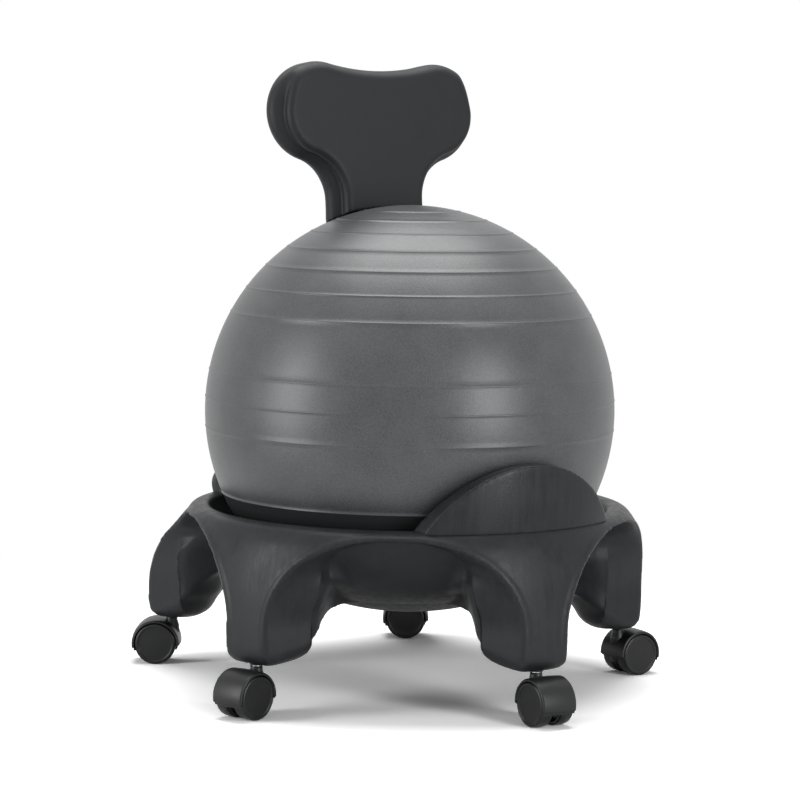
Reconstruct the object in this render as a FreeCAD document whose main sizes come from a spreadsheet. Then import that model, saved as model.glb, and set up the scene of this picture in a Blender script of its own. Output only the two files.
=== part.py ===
import FreeCAD, Part
import math
import os
import Sketcher
from FreeCAD import Placement, Rotation, Vector

# Balance ball chair: an inflated ball in a five-legged blow-moulded base, with a
# raised shield at the front, a backrest whose arm follows the ball, and five
# hooded twin-wheel casters. Millimetres, +Z up, the front of the chair toward -Y.
# The origin is on the floor, on the axis of the base and the ball.

doc = FreeCAD.newDocument("balance_ball_chair")
sheet = doc.addObject("Spreadsheet::Sheet", "Dimensions")

# Each row is a name, a value in millimetres, degrees or a count, and what it sizes.
DIMENSIONS = [
    ("ball_radius", 260, "half of the nominal 520 mm ball"),
    ("ball_wall", 1.6, "thickness of the ball's skin"),
    ("ball_centre_height", 351, "height of the ball's centre over the floor"),
    ("valve_radius", 6, "hole for the filling plug"),
    ("plug_flange_radius", 11, "rim of the filling plug"),
    ("plug_flange_thickness", 1.5, "how far the plug stands out of the ball"),
    ("plug_length", 16, "length of the plug's stopper inside the ball"),
    ("seat_gap", 0.3, "gap between the ball and what it lies in"),

    ("dish_radius", 344, "radius of the dish that the ball rests in"),
    ("dish_width", 140, "where the dish turns up into the well's side"),
    ("dish_height", 102, "height of the lowest point of the dish"),
    ("dish_wall", 6, "thickness of the dish"),
    ("well_mid_radius", 206, "well's side halfway up, radius"),
    ("well_mid_height", 180, "well's side halfway up, height"),
    ("bowl_mid_radius", 216, "outside of the bowl halfway up, radius"),
    ("bowl_mid_height", 161, "outside of the bowl halfway up, height"),
    ("rim_inner_radius", 251, "mouth of the well"),
    ("rim_outer_radius", 275, "outside of the rim"),
    ("rim_height", 232, "top of the rim"),
    ("rim_round", 7, "rounding of the rim's top edges"),
    ("rim_band", 10, "height of the rim over the arches"),

    ("leg_bottom", 62.5, "underside of the feet"),
    ("leg_foot_half_width", 30, "half width of a foot"),
    ("leg_spread_half_width", 160, "half width of a leg where it meets the next one"),
    ("leg_arch_start", 110, "height where a leg starts to spread"),
    ("leg_foot_round", 21, "rounding of the feet in side view"),
    ("leg_toe_round", 16, "rounding of the feet in front view"),
    ("leg_side_margin", 12, "how far a leg runs on past its spread into its neighbour"),
    ("leg_overhang", 23, "outside of a leg beyond its caster's axis"),
    ("front_stem_radius", 286, "caster axis of the front and side legs"),
    ("front_leg_slope", 10, "shoulder of these legs, inward from their outside"),
    ("front_leg_shoulder_height", 198, "height of that shoulder"),
    ("front_leg_knee", 132, "height where these legs come straight down"),
    ("rear_stem_radius", 334, "caster axis of the rear legs"),
    ("rear_leg_slope", 33, "shoulder of these legs, inward from their outside"),
    ("rear_leg_shoulder_height", 180, "height of that shoulder"),
    ("rear_leg_knee", 100, "height where these legs come straight down"),
    ("leg_foot_length", 95, "length of a foot from its outside inward"),
    ("leg_heel_height", 98, "height of the inner end of a foot"),
    ("leg_heel_round", 33.6, "rounding of that end"),
    ("leg_heel_run", 8, "how far that end slopes inward"),
    ("leg_root_rise", 20, "underside of a leg halfway to the bowl, over the heel"),
    ("leg_root_bow", 6, "how far that underside bows outward"),

    ("shield_half_width", 133, "half width of the front shield"),
    ("shield_crest_height", 309.5, "top of the front shield"),
    ("shield_inner_radius", 252, "shield's inside at the rim"),
    ("shield_inner_top", 261, "shield's inside at its crest"),
    ("shield_inner_bow", 2, "how far its inside bows outward"),
    ("shield_outer_radius", 277.5, "shield's outside at the seam"),
    ("shield_outer_bow", 3.5, "how far its outside bows outward halfway up"),
    ("shield_outer_top", 280.5, "shield's outside at its crest"),
    ("shield_round", 7, "rounding of the shield's crest"),
    ("seam_height", 227, "where the shield and the backrest meet the legs"),
    ("tongue_half_width", 55, "half width of the tongue under the shield"),
    ("tongue_depth", 22, "depth of the tongues in the rim"),
    ("tongue_inner_radius", 256, "inside of the tongues"),
    ("tongue_thickness", 11, "thickness of the tongues"),
    ("tongue_root", 3, "how far the tongues reach into their pieces"),
    ("fit_gap", 0.2, "gap of the tongues in their slots"),

    ("back_front_face", 71, "front face of the head behind the axis, level with its ears"),
    ("back_lean", 5, "lean of the head toward the rear, degrees"),
    ("back_thickness", 50, "thickness of the head"),
    ("back_neck_height", 618, "where the neck starts to widen"),
    ("back_neck_length", 60, "how far the neck runs down over the ball"),
    ("shell_ear_radius", 63, "rear half of the head: rounding of the two ears"),
    ("shell_ear_offset", 88.5, "rear half: ear centre from the middle"),
    ("shell_ear_height", 729.5, "rear half: height of the ear centres"),
    ("shell_dip_height", 782, "rear half: lowest point of the top edge"),
    ("shell_half_width", 70, "rear half: half width of the neck"),
    ("shell_depth", 32, "depth of the rear half"),
    ("shell_round", 13, "rounding of the rear half toward the rear"),
    ("shell_front_round", 7, "its rounding toward the front"),
    ("panel_ear_radius", 53, "front half of the head: rounding of the two ears"),
    ("panel_ear_offset", 86, "front half: ear centre from the middle"),
    ("panel_ear_height", 726.5, "front half: height of the ear centres"),
    ("panel_dip_height", 769.5, "front half: lowest point of the top edge"),
    ("panel_half_width", 58.5, "front half: half width of the neck"),
    ("panel_round", 8, "rounding of the front half"),
    ("arm_half_width", 57.5, "half width of the arm over the ball"),
    ("back_neck_gap", 1.5, "gap between the ball and the neck"),
    ("arm_gap", 3, "gap between the ball and the arm at the neck"),
    ("arm_low_gap", 5, "the same gap behind the ball"),
    ("arm_thickness", 32, "thickness of the arm behind the ball"),
    ("arm_foot_half_width", 166, "half width of the arm's foot"),
    ("arm_foot_height", 262, "height of the foot's ends"),
    ("arm_flare_rise", 30, "where the flare to the foot starts, over the ball's centre"),
    ("arm_front_round", 6, "rounding of the arm's edges toward the ball"),
    ("arm_rear_round", 12, "rounding of the arm's edges toward the rear"),
    ("rear_tongue_half_width", 20, "half width of the two tongues under the backrest"),
    ("rear_tongue_angle", 28, "these tongues, degrees from the middle of the rear"),

    ("bolt_radius", 3, "shank of the bolts in the tongues"),
    ("bolt_head_radius", 6.5, "head of these bolts"),
    ("bolt_head_height", 4, "height of these heads"),
    ("bolt_length", 16, "length under the head"),
    ("bolt_drop", 12, "depth of the bolts under the seam"),
    ("bolt_seat_radius", 249, "where the heads lie in the well's side"),
    ("lift_bolt_angle", 11, "upright bolts under the backrest, degrees from the middle"),
    ("lift_bolt_radius", 265, "these bolts, distance from the axis"),
    ("lift_bolt_seat", 218, "height that their heads pull against"),

    ("wheel_radius", 27, "caster wheels"),
    ("wheel_bore_gap", 0.05, "running gap on the axle"),
    ("wheel_side_gap", 0.5, "gap between a wheel and the housing's web"),
    ("wheel_edge_round", 2, "rounding of the tread's edges"),
    ("wheel_recess_depth", 7, "hollow in the wheel's inner side"),
    ("wheel_hub_radius", 8, "hub inside that hollow"),
    ("wheel_rim_thickness", 4, "wall of the wheel's rim"),
    ("wheel_dish_depth", 0.8, "how far the wheel's outer face is let in"),
    ("caster_half_width", 24, "half of a caster's overall width"),
    ("caster_trail", 20, "axle behind the stem"),
    ("hood_radius", 32.5, "outside of the hood"),
    ("hood_wall", 4, "thickness of the hood"),
    ("hood_skirt_drop", 10, "how far the hood reaches below the axle"),
    ("web_half_width", 6, "half thickness of the web between the wheels"),
    ("axle_radius", 3, "caster axle"),
    ("axle_half_length", 20, "half length of the axle"),
    ("neck_radius", 7.5, "neck on the hood round the stem"),
    ("neck_top", 61, "top of that neck"),
    ("stem_radius", 5.5, "caster stem inside the leg"),
    ("stem_shank_radius", 3.9, "stem inside the housing"),
    ("stem_shank_depth", 22, "depth of the stem in the housing"),
    ("stem_length", 38, "length of the stem over the neck"),
    ("socket_radius", 8.5, "outside of the socket sleeve"),
    ("socket_depth", 42, "depth of the socket"),
    ("ring_height", 4, "grip ring on the stem"),
    ("ring_groove_depth", 1.2, "groove that holds the ring"),
    ("ring_drop", 6, "ring below the stem's top"),
]

for row, (name, value, note) in enumerate(DIMENSIONS, start=1):
    sheet.set(f"A{row}", name)
    sheet.set(f"B{row}", str(value))
    sheet.set(f"C{row}", note)
    sheet.setAlias(f"B{row}", name)
doc.recompute()


def dim(name):
    """The value of one cell of the sheet."""
    return float(sheet.get(name))


def bind(target, **links):
    """Tie properties of an object to expressions on the sheet's cells."""
    for prop, words in links.items():
        for name, _, _ in DIMENSIONS:
            words = replace_word(words, name)
        target.setExpression(prop.replace("__", "."), words)


def replace_word(words, name):
    """Write the sheet's name in front of one alias, wherever it stands as a word."""
    out = ""
    rest = words
    while name in rest:
        at = rest.index(name)
        before = rest[at - 1] if at else " "
        after = rest[at + len(name)] if at + len(name) < len(rest) else " "
        whole = not (before.isalnum() or before in "_.") and not (after.isalnum() or after == "_")
        out += rest[:at] + ("Dimensions." + name if whole else name)
        rest = rest[at + len(name):]
    return out + rest


# Directions round the chair are angles from the front: 0 is the front leg, and
# they grow toward +X.
LEG_STEP = 72
LEG_SWEEP = 50
LEGS = {
    "front": 0,
    "right": LEG_STEP,
    "rear_right": 2 * LEG_STEP,
    "rear_left": -2 * LEG_STEP,
    "left": -LEG_STEP,
}
# The casters stand as they last rolled: the direction in which each wheel pair trails.
TRAILS = {"front": 0, "right": 90, "rear_right": -123, "rear_left": -123, "left": -74}


def turn(angle):
    return Placement(Vector(0, 0, 0), Rotation(Vector(0, 0, 1), angle))


def is_rear(leg):
    return leg.startswith("rear")


def stem_circle(leg):
    return dim("rear_stem_radius") if is_rear(leg) else dim("front_stem_radius")


def stem_place(leg):
    """Where a caster's stem axis meets the floor."""
    return turn(LEGS[leg]).multVec(Vector(0, -stem_circle(leg), 0))


def add_shape(name, shape):
    """A piece whose form no feature gives: its shape is worked out from the sheet."""
    piece = doc.addObject("Part::Feature", name)
    piece.Shape = shape
    piece.Placement = Placement()
    return piece


def side_point(radius, height):
    """A point of a profile in the plane through the axis and the front leg."""
    return Vector(0, -radius, height)


def arc(start, middle, end):
    return Part.Arc(start, middle, end).toShape()


def line(start, end):
    return Part.makeLine(start, end)


def round_corner(start, turning_point, end):
    """An edge that turns a corner smoothly: a circle or ellipse arc where it is square."""
    curve = Part.BezierCurve()
    curve.setPoles([start, turning_point, end])
    curve.setWeight(2, math.sqrt(0.5))
    return curve.toShape()


def quarter_ellipse(centre, start, end):
    """A quarter of an ellipse whose two half axes end at the given points."""
    long_end, short_end = start, end
    if (start - centre).Length < (end - centre).Length:
        long_end, short_end = end, start
    curve = Part.Ellipse(long_end, short_end, centre)
    first = curve.parameter(start)
    last = curve.parameter(end)
    if last < first:
        first, last = last, first
    if last - first > math.pi:
        first, last = last - 2 * math.pi, first
    return Part.ArcOfEllipse(curve, first, last).toShape()


def face_of(edges):
    return Part.Face(Part.Wire(Part.__sortEdges__(edges)))


def swept_about_axis(face, half_angle):
    """Turn a profile about the chair's axis, by the same angle to both sides."""
    solid = face.revolve(Vector(0, 0, 0), Vector(0, 0, 1), 2 * half_angle)
    solid.Placement = turn(-half_angle)
    return solid


def corner(centre_radius, centre_height, size, from_angle, to_angle):
    """Start, middle and end of a round corner in a side profile."""
    def on_circle(angle):
        a = math.radians(angle)
        return side_point(centre_radius + size * math.cos(a), centre_height + size * math.sin(a))
    return on_circle(from_angle), on_circle((from_angle + to_angle) / 2), on_circle(to_angle)


def dish_height_at(radius, dish_radius, lowest):
    """Height of a dish of the given radius at a distance from the axis."""
    return lowest + dish_radius - math.sqrt(dish_radius ** 2 - radius ** 2)


def clear_reach():
    """A length that takes a cutting block past every side of the chair."""
    return 2 * (dim("rear_stem_radius") + dim("leg_overhang"))


def block(low, high):
    """A box between two corners."""
    size = high - low
    return Part.makeBox(size.x, size.y, size.z, low)


# The base: a bowl with a rolled rim, and five legs with wide arches between them.

def bowl_solid():
    dish = dim("dish_radius")
    low = dim("dish_height")
    wall = dim("dish_wall")
    turn_up = dim("dish_width")
    rim = dim("rim_height")
    soft = dim("rim_round")
    band = rim - dim("rim_band")
    inner = dim("rim_inner_radius")
    outer = dim("rim_outer_radius")

    def dish_point(radius, drop):
        return side_point(radius, dish_height_at(radius, dish + drop, low - drop))

    inner_side = side_point(inner, rim - soft)
    inner_round = corner(inner + soft, rim - soft, soft, 180, 90)
    outer_round = corner(outer - soft, rim - soft, soft, 90, 0)
    underside_end = side_point(inner + soft, band - soft / 4)
    band_edge = side_point(outer, band)
    well_mid = side_point(dim("well_mid_radius"), dim("well_mid_height"))
    bowl_mid = side_point(dim("bowl_mid_radius"), dim("bowl_mid_height"))
    edges = [
        arc(dish_point(0, 0), dish_point(turn_up / 2, 0), dish_point(turn_up, 0)),
        arc(dish_point(turn_up, 0), well_mid, inner_side),
        arc(*inner_round),
        line(inner_round[2], outer_round[0]),
        arc(*outer_round),
        line(outer_round[2], band_edge),
        line(band_edge, underside_end),
        arc(underside_end, bowl_mid, dish_point(turn_up, wall)),
        arc(dish_point(turn_up, wall), dish_point(turn_up / 2, wall), dish_point(0, wall)),
        line(dish_point(0, wall), dish_point(0, 0)),
    ]
    return face_of(edges).revolve(Vector(0, 0, 0), Vector(0, 0, 1), 360)


def leg_profile(reach, shoulder, shoulder_height, knee):
    """Side view of a leg, from the rim out to the foot and back under the bowl."""
    low = dim("leg_bottom")
    soft = dim("leg_foot_round")
    top = dim("rim_height") - dim("rim_round") / 2
    inner_soft = dim("leg_heel_round")
    rim_out = side_point(dim("rim_outer_radius"), top)
    knee_point = side_point(reach, knee)
    toe = corner(reach - soft, low + soft, soft, 0, -90)
    heel_x = reach - dim("leg_foot_length")
    heel = corner(heel_x + inner_soft, low + inner_soft, inner_soft, -90, -158)
    heel_top = side_point(heel_x - dim("leg_heel_run"), dim("leg_heel_height"))
    root = side_point(dim("dish_width"), dish_height_at(dim("dish_width"), dim("dish_radius"),
                                                        dim("dish_height")) - dim("dish_wall") / 2)
    root_radius = (heel_x + dim("dish_width")) / 2
    root_mid = side_point(root_radius + dim("leg_root_bow"),
                          dim("leg_heel_height") + dim("leg_root_rise"))
    wall_mid = side_point((dim("well_mid_radius") + dim("bowl_mid_radius")) / 2,
                          (dim("well_mid_height") + dim("bowl_mid_height")) / 2)
    rim_in = side_point(dim("rim_inner_radius") + dim("rim_round"), top)
    edges = [
        arc(rim_out, side_point(shoulder, shoulder_height), knee_point),
        line(knee_point, toe[0]),
        arc(*toe),
        line(toe[2], heel[0]),
        arc(*heel),
        line(heel[2], heel_top),
        arc(heel_top, root_mid, root),
        line(root, wall_mid),
        line(wall_mid, rim_in),
        line(rim_in, rim_out),
    ]
    return face_of(edges)


def leg_outline():
    """Front view of a leg: a narrow foot that spreads into the arches on both sides."""
    low = dim("leg_bottom")
    half = dim("leg_foot_half_width")
    spread = dim("leg_spread_half_width")
    start = dim("leg_arch_start")
    arch_top = dim("rim_height") - dim("rim_band")
    top = dim("rim_height")
    soft = dim("leg_toe_round")
    reach_out = spread + dim("leg_side_margin")
    edges = []
    for side in (-1, 1):
        def point(across, height, side=side):
            return Vector(side * across, 0, height)

        edges.append(quarter_ellipse(point(spread, start), point(half, start),
                                     point(spread, arch_top)))
        edges.append(round_corner(point(half - soft, low), point(half, low),
                                  point(half, low + soft)))
        edges.append(line(point(half, low + soft), point(half, start)))
        edges.append(line(point(spread, arch_top), point(reach_out, arch_top)))
        edges.append(line(point(reach_out, arch_top), point(reach_out, top)))
    edges.append(line(Vector(-half + soft, 0, low), Vector(half - soft, 0, low)))
    edges.append(line(Vector(-reach_out, 0, top), Vector(reach_out, 0, top)))
    return face_of(edges)


def leg_solid(leg):
    side = "rear_leg_" if is_rear(leg) else "front_leg_"
    reach = stem_circle(leg) + dim("leg_overhang")
    profile = leg_profile(reach, reach - dim(side + "slope"), dim(side + "shoulder_height"),
                          dim(side + "knee"))
    turned = swept_about_axis(profile, LEG_SWEEP)
    front_view = leg_outline().extrude(Vector(0, -clear_reach(), 0))
    return turned.common(front_view).Solids[0]


def socket_hole(leg):
    place = stem_place(leg)
    below = dim("fit_gap")
    bottom = Vector(place.x, place.y, dim("leg_bottom") - below)
    return Part.makeCylinder(dim("socket_radius"), dim("socket_depth") + below, bottom)


def tongue(half_width, gap, angle):
    """A block that hangs from the seam into the rim, curved with it."""
    inner = dim("tongue_inner_radius") - gap
    outer = dim("tongue_inner_radius") + dim("tongue_thickness") + gap
    low = dim("seam_height") - dim("tongue_depth") - gap
    high = dim("seam_height") + dim("tongue_root")
    points = [side_point(inner, low), side_point(outer, low),
              side_point(outer, high), side_point(inner, high)]
    profile = Part.Face(Part.makePolygon(points + points[:1]))
    ring = swept_about_axis(profile, LEG_SWEEP)
    half = half_width + gap
    solid = ring.common(block(Vector(-half, -clear_reach(), 0), Vector(half, 0, high)))
    solid.Placement = turn(angle)
    return solid


def rim_notch(half_width, angle):
    """The stretch of the rim that a shield or the backrest's foot takes the place of."""
    half = half_width + dim("fit_gap")
    slab = block(Vector(-half, -clear_reach(), dim("seam_height")),
                 Vector(half, 0, dim("seam_height") + dim("rim_height")))
    slab.Placement = turn(angle)
    return slab


def base_solid():
    body = bowl_solid()
    for leg, angle in LEGS.items():
        limb = leg_solid(leg)
        limb.Placement = turn(angle)
        body = body.fuse(limb)
    for leg in LEGS:
        body = body.cut(socket_hole(leg))
    body = body.cut(rim_notch(dim("shield_half_width"), 0))
    body = body.cut(rim_notch(dim("arm_foot_half_width"), 180))
    body = body.cut(tongue(dim("tongue_half_width"), dim("fit_gap"), 0))
    for side in (-1, 1):
        angle = 180 + side * dim("rear_tongue_angle")
        body = body.cut(tongue(dim("rear_tongue_half_width"), dim("fit_gap"), angle))
    head_room = dim("rim_outer_radius") - dim("bowl_mid_radius")
    for hole in shield_bolt_set(head_room) + backrest_bolt_set(head_room):
        body = body.cut(hole)
    body = body.removeSplitter()
    return body.Solids[0]


# The front shield stands on the rim and follows the ball.

def shield_solid():
    seam = dim("seam_height")
    crest = dim("shield_crest_height")
    half = dim("shield_half_width")
    rim = dim("rim_height")
    top = crest + dim("shield_round")
    inner_low = side_point(dim("shield_inner_radius"), seam)
    inner_mid_height = (seam + top) / 2
    inner_mid_radius = (dim("shield_inner_radius") + dim("shield_inner_top")) / 2
    inner_mid = side_point(inner_mid_radius + dim("shield_inner_bow"), inner_mid_height)
    inner_top = side_point(dim("shield_inner_top"), top)
    outer_low = side_point(dim("shield_outer_radius"), seam)
    outer_mid = side_point(dim("shield_outer_radius") + dim("shield_outer_bow"),
                           inner_mid_height)
    outer_top = side_point(dim("shield_outer_top"), top)
    profile = face_of([
        arc(inner_low, inner_mid, inner_top),
        line(inner_top, outer_top),
        arc(outer_top, outer_mid, outer_low),
        line(outer_low, inner_low),
    ])
    left = Vector(-half, 0, rim)
    right = Vector(half, 0, rim)
    outline = face_of([
        line(Vector(-half, 0, seam), left),
        arc(left, Vector(0, 0, crest), right),
        line(right, Vector(half, 0, seam)),
        line(Vector(half, 0, seam), Vector(-half, 0, seam)),
    ])
    curved = swept_about_axis(profile, LEG_SWEEP)
    solid = curved.common(outline.extrude(Vector(0, -clear_reach(), 0)))
    crest_edges = [e for e in solid.Edges
                   if e.BoundBox.ZMax > (crest + rim) / 2 and e.BoundBox.XLength > half]
    solid = solid.makeFillet(dim("shield_round"), crest_edges)
    solid = solid.fuse(tongue(dim("tongue_half_width"), 0, 0))
    for bolt in shield_bolt_set():
        solid = solid.cut(bolt)
    return solid.removeSplitter().Solids[0]


# The backrest: a flat head with two ears, a neck, and an arm that goes round behind
# the ball to a wide foot on the rim.

def polar_point(angle, size):
    """A point round the ball's centre, the angle from straight up, toward the rear."""
    a = math.radians(angle)
    return Vector(0, size * math.sin(a), dim("ball_centre_height") + size * math.cos(a))


def mix(low, high, share):
    """A smooth step from one value to another."""
    share = min(1.0, max(0.0, share))
    return low + (high - low) * share * share * (3 - 2 * share)


def foot_half_width(angle, size):
    """Half width of the arm where it flares into its foot."""
    narrow = dim("arm_half_width")
    wide = dim("arm_foot_half_width")
    low = dim("rim_height")
    corner_height = dim("arm_foot_height")
    high = dim("ball_centre_height") + dim("arm_flare_rise")

    def flare_height(half):
        """Height of the arm's side over the floor, for a half width."""
        share = min(1.0, (half - narrow) / (wide - narrow))
        return low + (corner_height - low) * math.sqrt(1 - share ** 4) + \
            (high - corner_height) * (1 - share) ** 3

    def side_height(half):
        reach = math.sqrt(max(0.0, size ** 2 - half ** 2))
        return dim("ball_centre_height") + reach * math.cos(math.radians(angle))

    if side_height(narrow) >= flare_height(narrow):
        return narrow
    low_guess = narrow
    high_guess = wide
    for _ in range(40):
        half = (low_guess + high_guess) / 2
        if side_height(half) < flare_height(half):
            low_guess = half
        else:
            high_guess = half
    return low_guess


def arm_section(front_point, rear_point, half, rear_bow, rounding):
    """A closed section of the arm. Its front and rear lines bow round the ball."""
    across = (rear_point - front_point).normalize()
    front_round = dim("arm_front_round") * rounding
    rear_round = dim("arm_rear_round") * rounding

    def bowed(point, bow, at):
        size = (point - polar_point(0, 0)).Length
        drop = bow * (size - math.sqrt(size ** 2 - at ** 2))
        return point + Vector(at, 0, 0) - across * drop

    def long_line(point, bow, reach):
        curve = Part.BSplineCurve()
        steps = 4
        curve.interpolate([bowed(point, bow, reach * (2 * i / steps - 1))
                           for i in range(steps + 1)])
        return curve.toShape()

    def corner_edge(point, bow, side, size, inward):
        tip = bowed(point, bow, side * half)
        along = bowed(point, bow, side * (half - size))
        up = tip + inward * size
        return along, tip, up

    edges = [long_line(front_point, 1, half - front_round)]
    ends = []
    for side in (1, -1):
        front_in, front_tip, front_up = corner_edge(front_point, 1, side, front_round, across)
        rear_in, rear_tip, rear_up = corner_edge(rear_point, rear_bow, side,
                                                 rear_round, across * -1)
        ends.append([
            round_corner(front_in, front_tip, front_up),
            line(front_up, rear_up),
            round_corner(rear_up, rear_tip, rear_in),
        ])
    rear_line = long_line(rear_point, rear_bow, half - rear_round)
    edges += ends[0] + [rear_line] + ends[1][::-1]
    return Part.Wire(Part.__sortEdges__(edges))


# Sections of the arm from the neck down to the seam. Each row is an angle from the
# ball's top, the share of the full thickness, how strongly the rear side bows compared
# with the ball, the share of the way from the ball's curve out to the rim, and the
# share of the full edge rounding. Over the ball the arm is a thin crowned blade.
ARM_SECTIONS = [
    (17, 0.52, 3.0, 0, 0.25),
    (24, 0.53, 3.0, 0, 0.25),
    (30, 0.54, 2.9, 0, 0.25),
    (36, 0.58, 2.6, 0, 0.3),
    (43, 0.68, 1.9, 0, 0.55),
    (52, 0.78, 1.2, 0, 1),
    (64, 0.9, 1, 0, 1),
    (76, 1, 1, 0, 1),
    (88, 1, 1, 0, 1),
    (98, 1, 1, 0.16, 1),
    (106, 1, 1, 0.62, 1),
    (113, 1, 1, 0.96, 1),
    (119, 1, 1, 1, 1),
    (125, 1, 1, 1, 1),
    (131, 1, 1, 1, 1),
]
ARM_GAP_FROM = 36
ARM_GAP_TO = 66
ARM_FLARE_FROM = 60


def arm_solid():
    """The arm from the head's lower end down to the seam, through a row of sections."""
    centre = dim("ball_centre_height")
    seam = dim("seam_height")
    seam_inner = math.hypot(dim("shield_inner_radius"), centre - seam)
    seam_outer = math.hypot(dim("shield_outer_radius"), centre - seam)
    sections = []
    for angle, thickness, rear_bow, lift, rounding in ARM_SECTIONS:
        spread = (angle - ARM_GAP_FROM) / (ARM_GAP_TO - ARM_GAP_FROM)
        inner = dim("ball_radius") + mix(dim("arm_gap"), dim("arm_low_gap"), spread)
        outer = inner + thickness * dim("arm_thickness")
        inner += (seam_inner - inner) * lift
        outer += (seam_outer - outer) * lift
        half = dim("arm_half_width")
        if angle > ARM_FLARE_FROM:
            half = foot_half_width(angle, outer)
        sections.append(arm_section(polar_point(angle, inner), polar_point(angle, outer),
                                    half, rear_bow, rounding))
    solid = Part.makeLoft(sections, True, False)
    reach = clear_reach()
    above = block(Vector(-reach, -reach, seam), Vector(reach, reach, reach))
    return solid.common(above).Solids[0]


def head_outline(half_name):
    """Front view of the head and neck: two round ears over concave shoulders."""
    ear = dim(half_name + "_ear_radius")
    ear_x = dim(half_name + "_ear_offset")
    ear_z = dim(half_name + "_ear_height")
    half = dim(half_name + "_half_width")
    neck = dim("back_neck_height")
    low = neck - dim("back_neck_length")
    # The shoulder's arc starts level with the neck's end and touches the ear.
    gap_x = ear_x - half
    rise = ear_z - neck
    hollow = (gap_x ** 2 + rise ** 2 - ear ** 2) / (2 * (ear + gap_x))
    hollow_centre = Vector(half + hollow, 0, neck)
    ear_centre = Vector(ear_x, 0, ear_z)
    toward = (hollow_centre - ear_centre).normalize()
    touch = ear_centre + toward * ear
    # The top edge dips between the ears.
    top_angle = math.radians(104)
    ear_top = ear_centre + Vector(math.cos(top_angle), 0, math.sin(top_angle)) * ear
    touch_angle = math.atan2(touch.z - neck, touch.x - hollow_centre.x)
    mid_angle = (touch_angle + math.pi) / 2
    hollow_mid = hollow_centre + Vector(math.cos(mid_angle), 0, math.sin(mid_angle)) * hollow
    edges = []
    for side in (-1, 1):
        def flip(point, side=side):
            return Vector(side * point.x, 0, point.z)

        edges.append(arc(flip(ear_top), flip(ear_centre + Vector(ear, 0, 0)), flip(touch)))
        edges.append(arc(flip(touch), flip(hollow_mid), flip(Vector(half, 0, neck))))
        edges.append(line(flip(Vector(half, 0, neck)), flip(Vector(half, 0, low))))
    edges.append(arc(Vector(-ear_top.x, 0, ear_top.z),
                     Vector(0, 0, dim(half_name + "_dip_height")), ear_top))
    edges.append(line(Vector(-half, 0, low), Vector(half, 0, low)))
    return face_of(edges)


def head_half(half_name, near, far, near_round, far_round):
    """One half of the head between two depths, with rounded edges."""
    outline = head_outline(half_name)
    outline.translate(Vector(0, near, 0))
    solid = outline.extrude(Vector(0, far - near, 0))
    low = dim("back_neck_height") - dim("back_neck_length")

    def face_edges(shape, depth):
        return [e for e in shape.Edges
                if abs(e.BoundBox.YMin - depth) < 0.01 and abs(e.BoundBox.YMax - depth) < 0.01
                and e.BoundBox.ZMax > low + 1]

    for size, depth in ((far_round, far), (near_round, near)):
        if size:
            solid = solid.makeFillet(size, face_edges(solid, depth))
    return solid


def head_solid():
    """A narrower front half on a broader rear half, leaning back, cut to clear the ball."""
    depth = dim("back_thickness")
    step = depth - dim("shell_depth")
    panel = head_half("panel", 0, step + dim("shell_front_round"), dim("panel_round"), 0)
    shell = head_half("shell", step, depth, dim("shell_front_round"), dim("shell_round"))
    solid = panel.fuse(shell)
    ears = dim("shell_ear_height")
    lean = Placement(Vector(0, dim("back_front_face"), ears),
                     Rotation(Vector(1, 0, 0), -dim("back_lean")))
    solid.Placement = lean.multiply(Placement(Vector(0, 0, -ears), Rotation()))
    clear = Part.makeSphere(dim("ball_radius") + dim("back_neck_gap"), polar_point(0, 0))
    return solid.cut(clear).Solids[0]


def backrest_solid():
    body = head_solid().fuse(arm_solid())
    for side in (-1, 1):
        angle = 180 + side * dim("rear_tongue_angle")
        body = body.fuse(tongue(dim("rear_tongue_half_width"), 0, angle))
    for bolt in backrest_bolt_set():
        body = body.cut(bolt)
    return body.removeSplitter().Solids[0]


# Bolts: level ones go from the well through its side into the tongues, upright ones
# go up through the rim into the backrest's foot.

FRONT_BOLT_ANGLES = (-8, 8)


def bolt_solid(reach, head_reach):
    """A bolt along +Z from its seat, with a round head below it."""
    shank = Part.makeCylinder(dim("bolt_radius"), reach)
    head = Part.makeCylinder(dim("bolt_head_radius"), head_reach, Vector(0, 0, -head_reach))
    return shank.fuse(head).removeSplitter()


def level_bolt(angle, head_reach):
    """A bolt that points away from the axis, under the seam."""
    solid = bolt_solid(dim("bolt_length"), head_reach)
    outward = Rotation(Vector(1, 0, 0), 90)
    solid.Placement = turn(angle).multiply(
        Placement(Vector(0, -dim("bolt_seat_radius"), dim("seam_height") - dim("bolt_drop")),
                  outward))
    return solid


def upright_bolt(angle, head_reach):
    """A bolt that goes up through the rim."""
    solid = bolt_solid(dim("bolt_length"), head_reach)
    solid.Placement = turn(angle).multiply(
        Placement(Vector(0, -dim("lift_bolt_radius"), dim("lift_bolt_seat")), Rotation()))
    return solid


def shield_bolt_set(head_reach=None):
    head_reach = head_reach or dim("bolt_head_height")
    return [level_bolt(angle, head_reach) for angle in FRONT_BOLT_ANGLES]


def backrest_bolt_set(head_reach=None):
    head_reach = head_reach or dim("bolt_head_height")
    bolts = []
    for side in (-1, 1):
        bolts.append(level_bolt(180 + side * dim("rear_tongue_angle"), head_reach))
        bolts.append(upright_bolt(180 + side * dim("lift_bolt_angle"), head_reach))
    return bolts


# Sketches for the turned and moulded small parts: every corner is tied to the sheet.

def body_plane(body, role):
    for feature in body.Origin.OriginFeatures:
        if feature.Role == role:
            return feature
    raise RuntimeError("no plane " + role)


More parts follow.
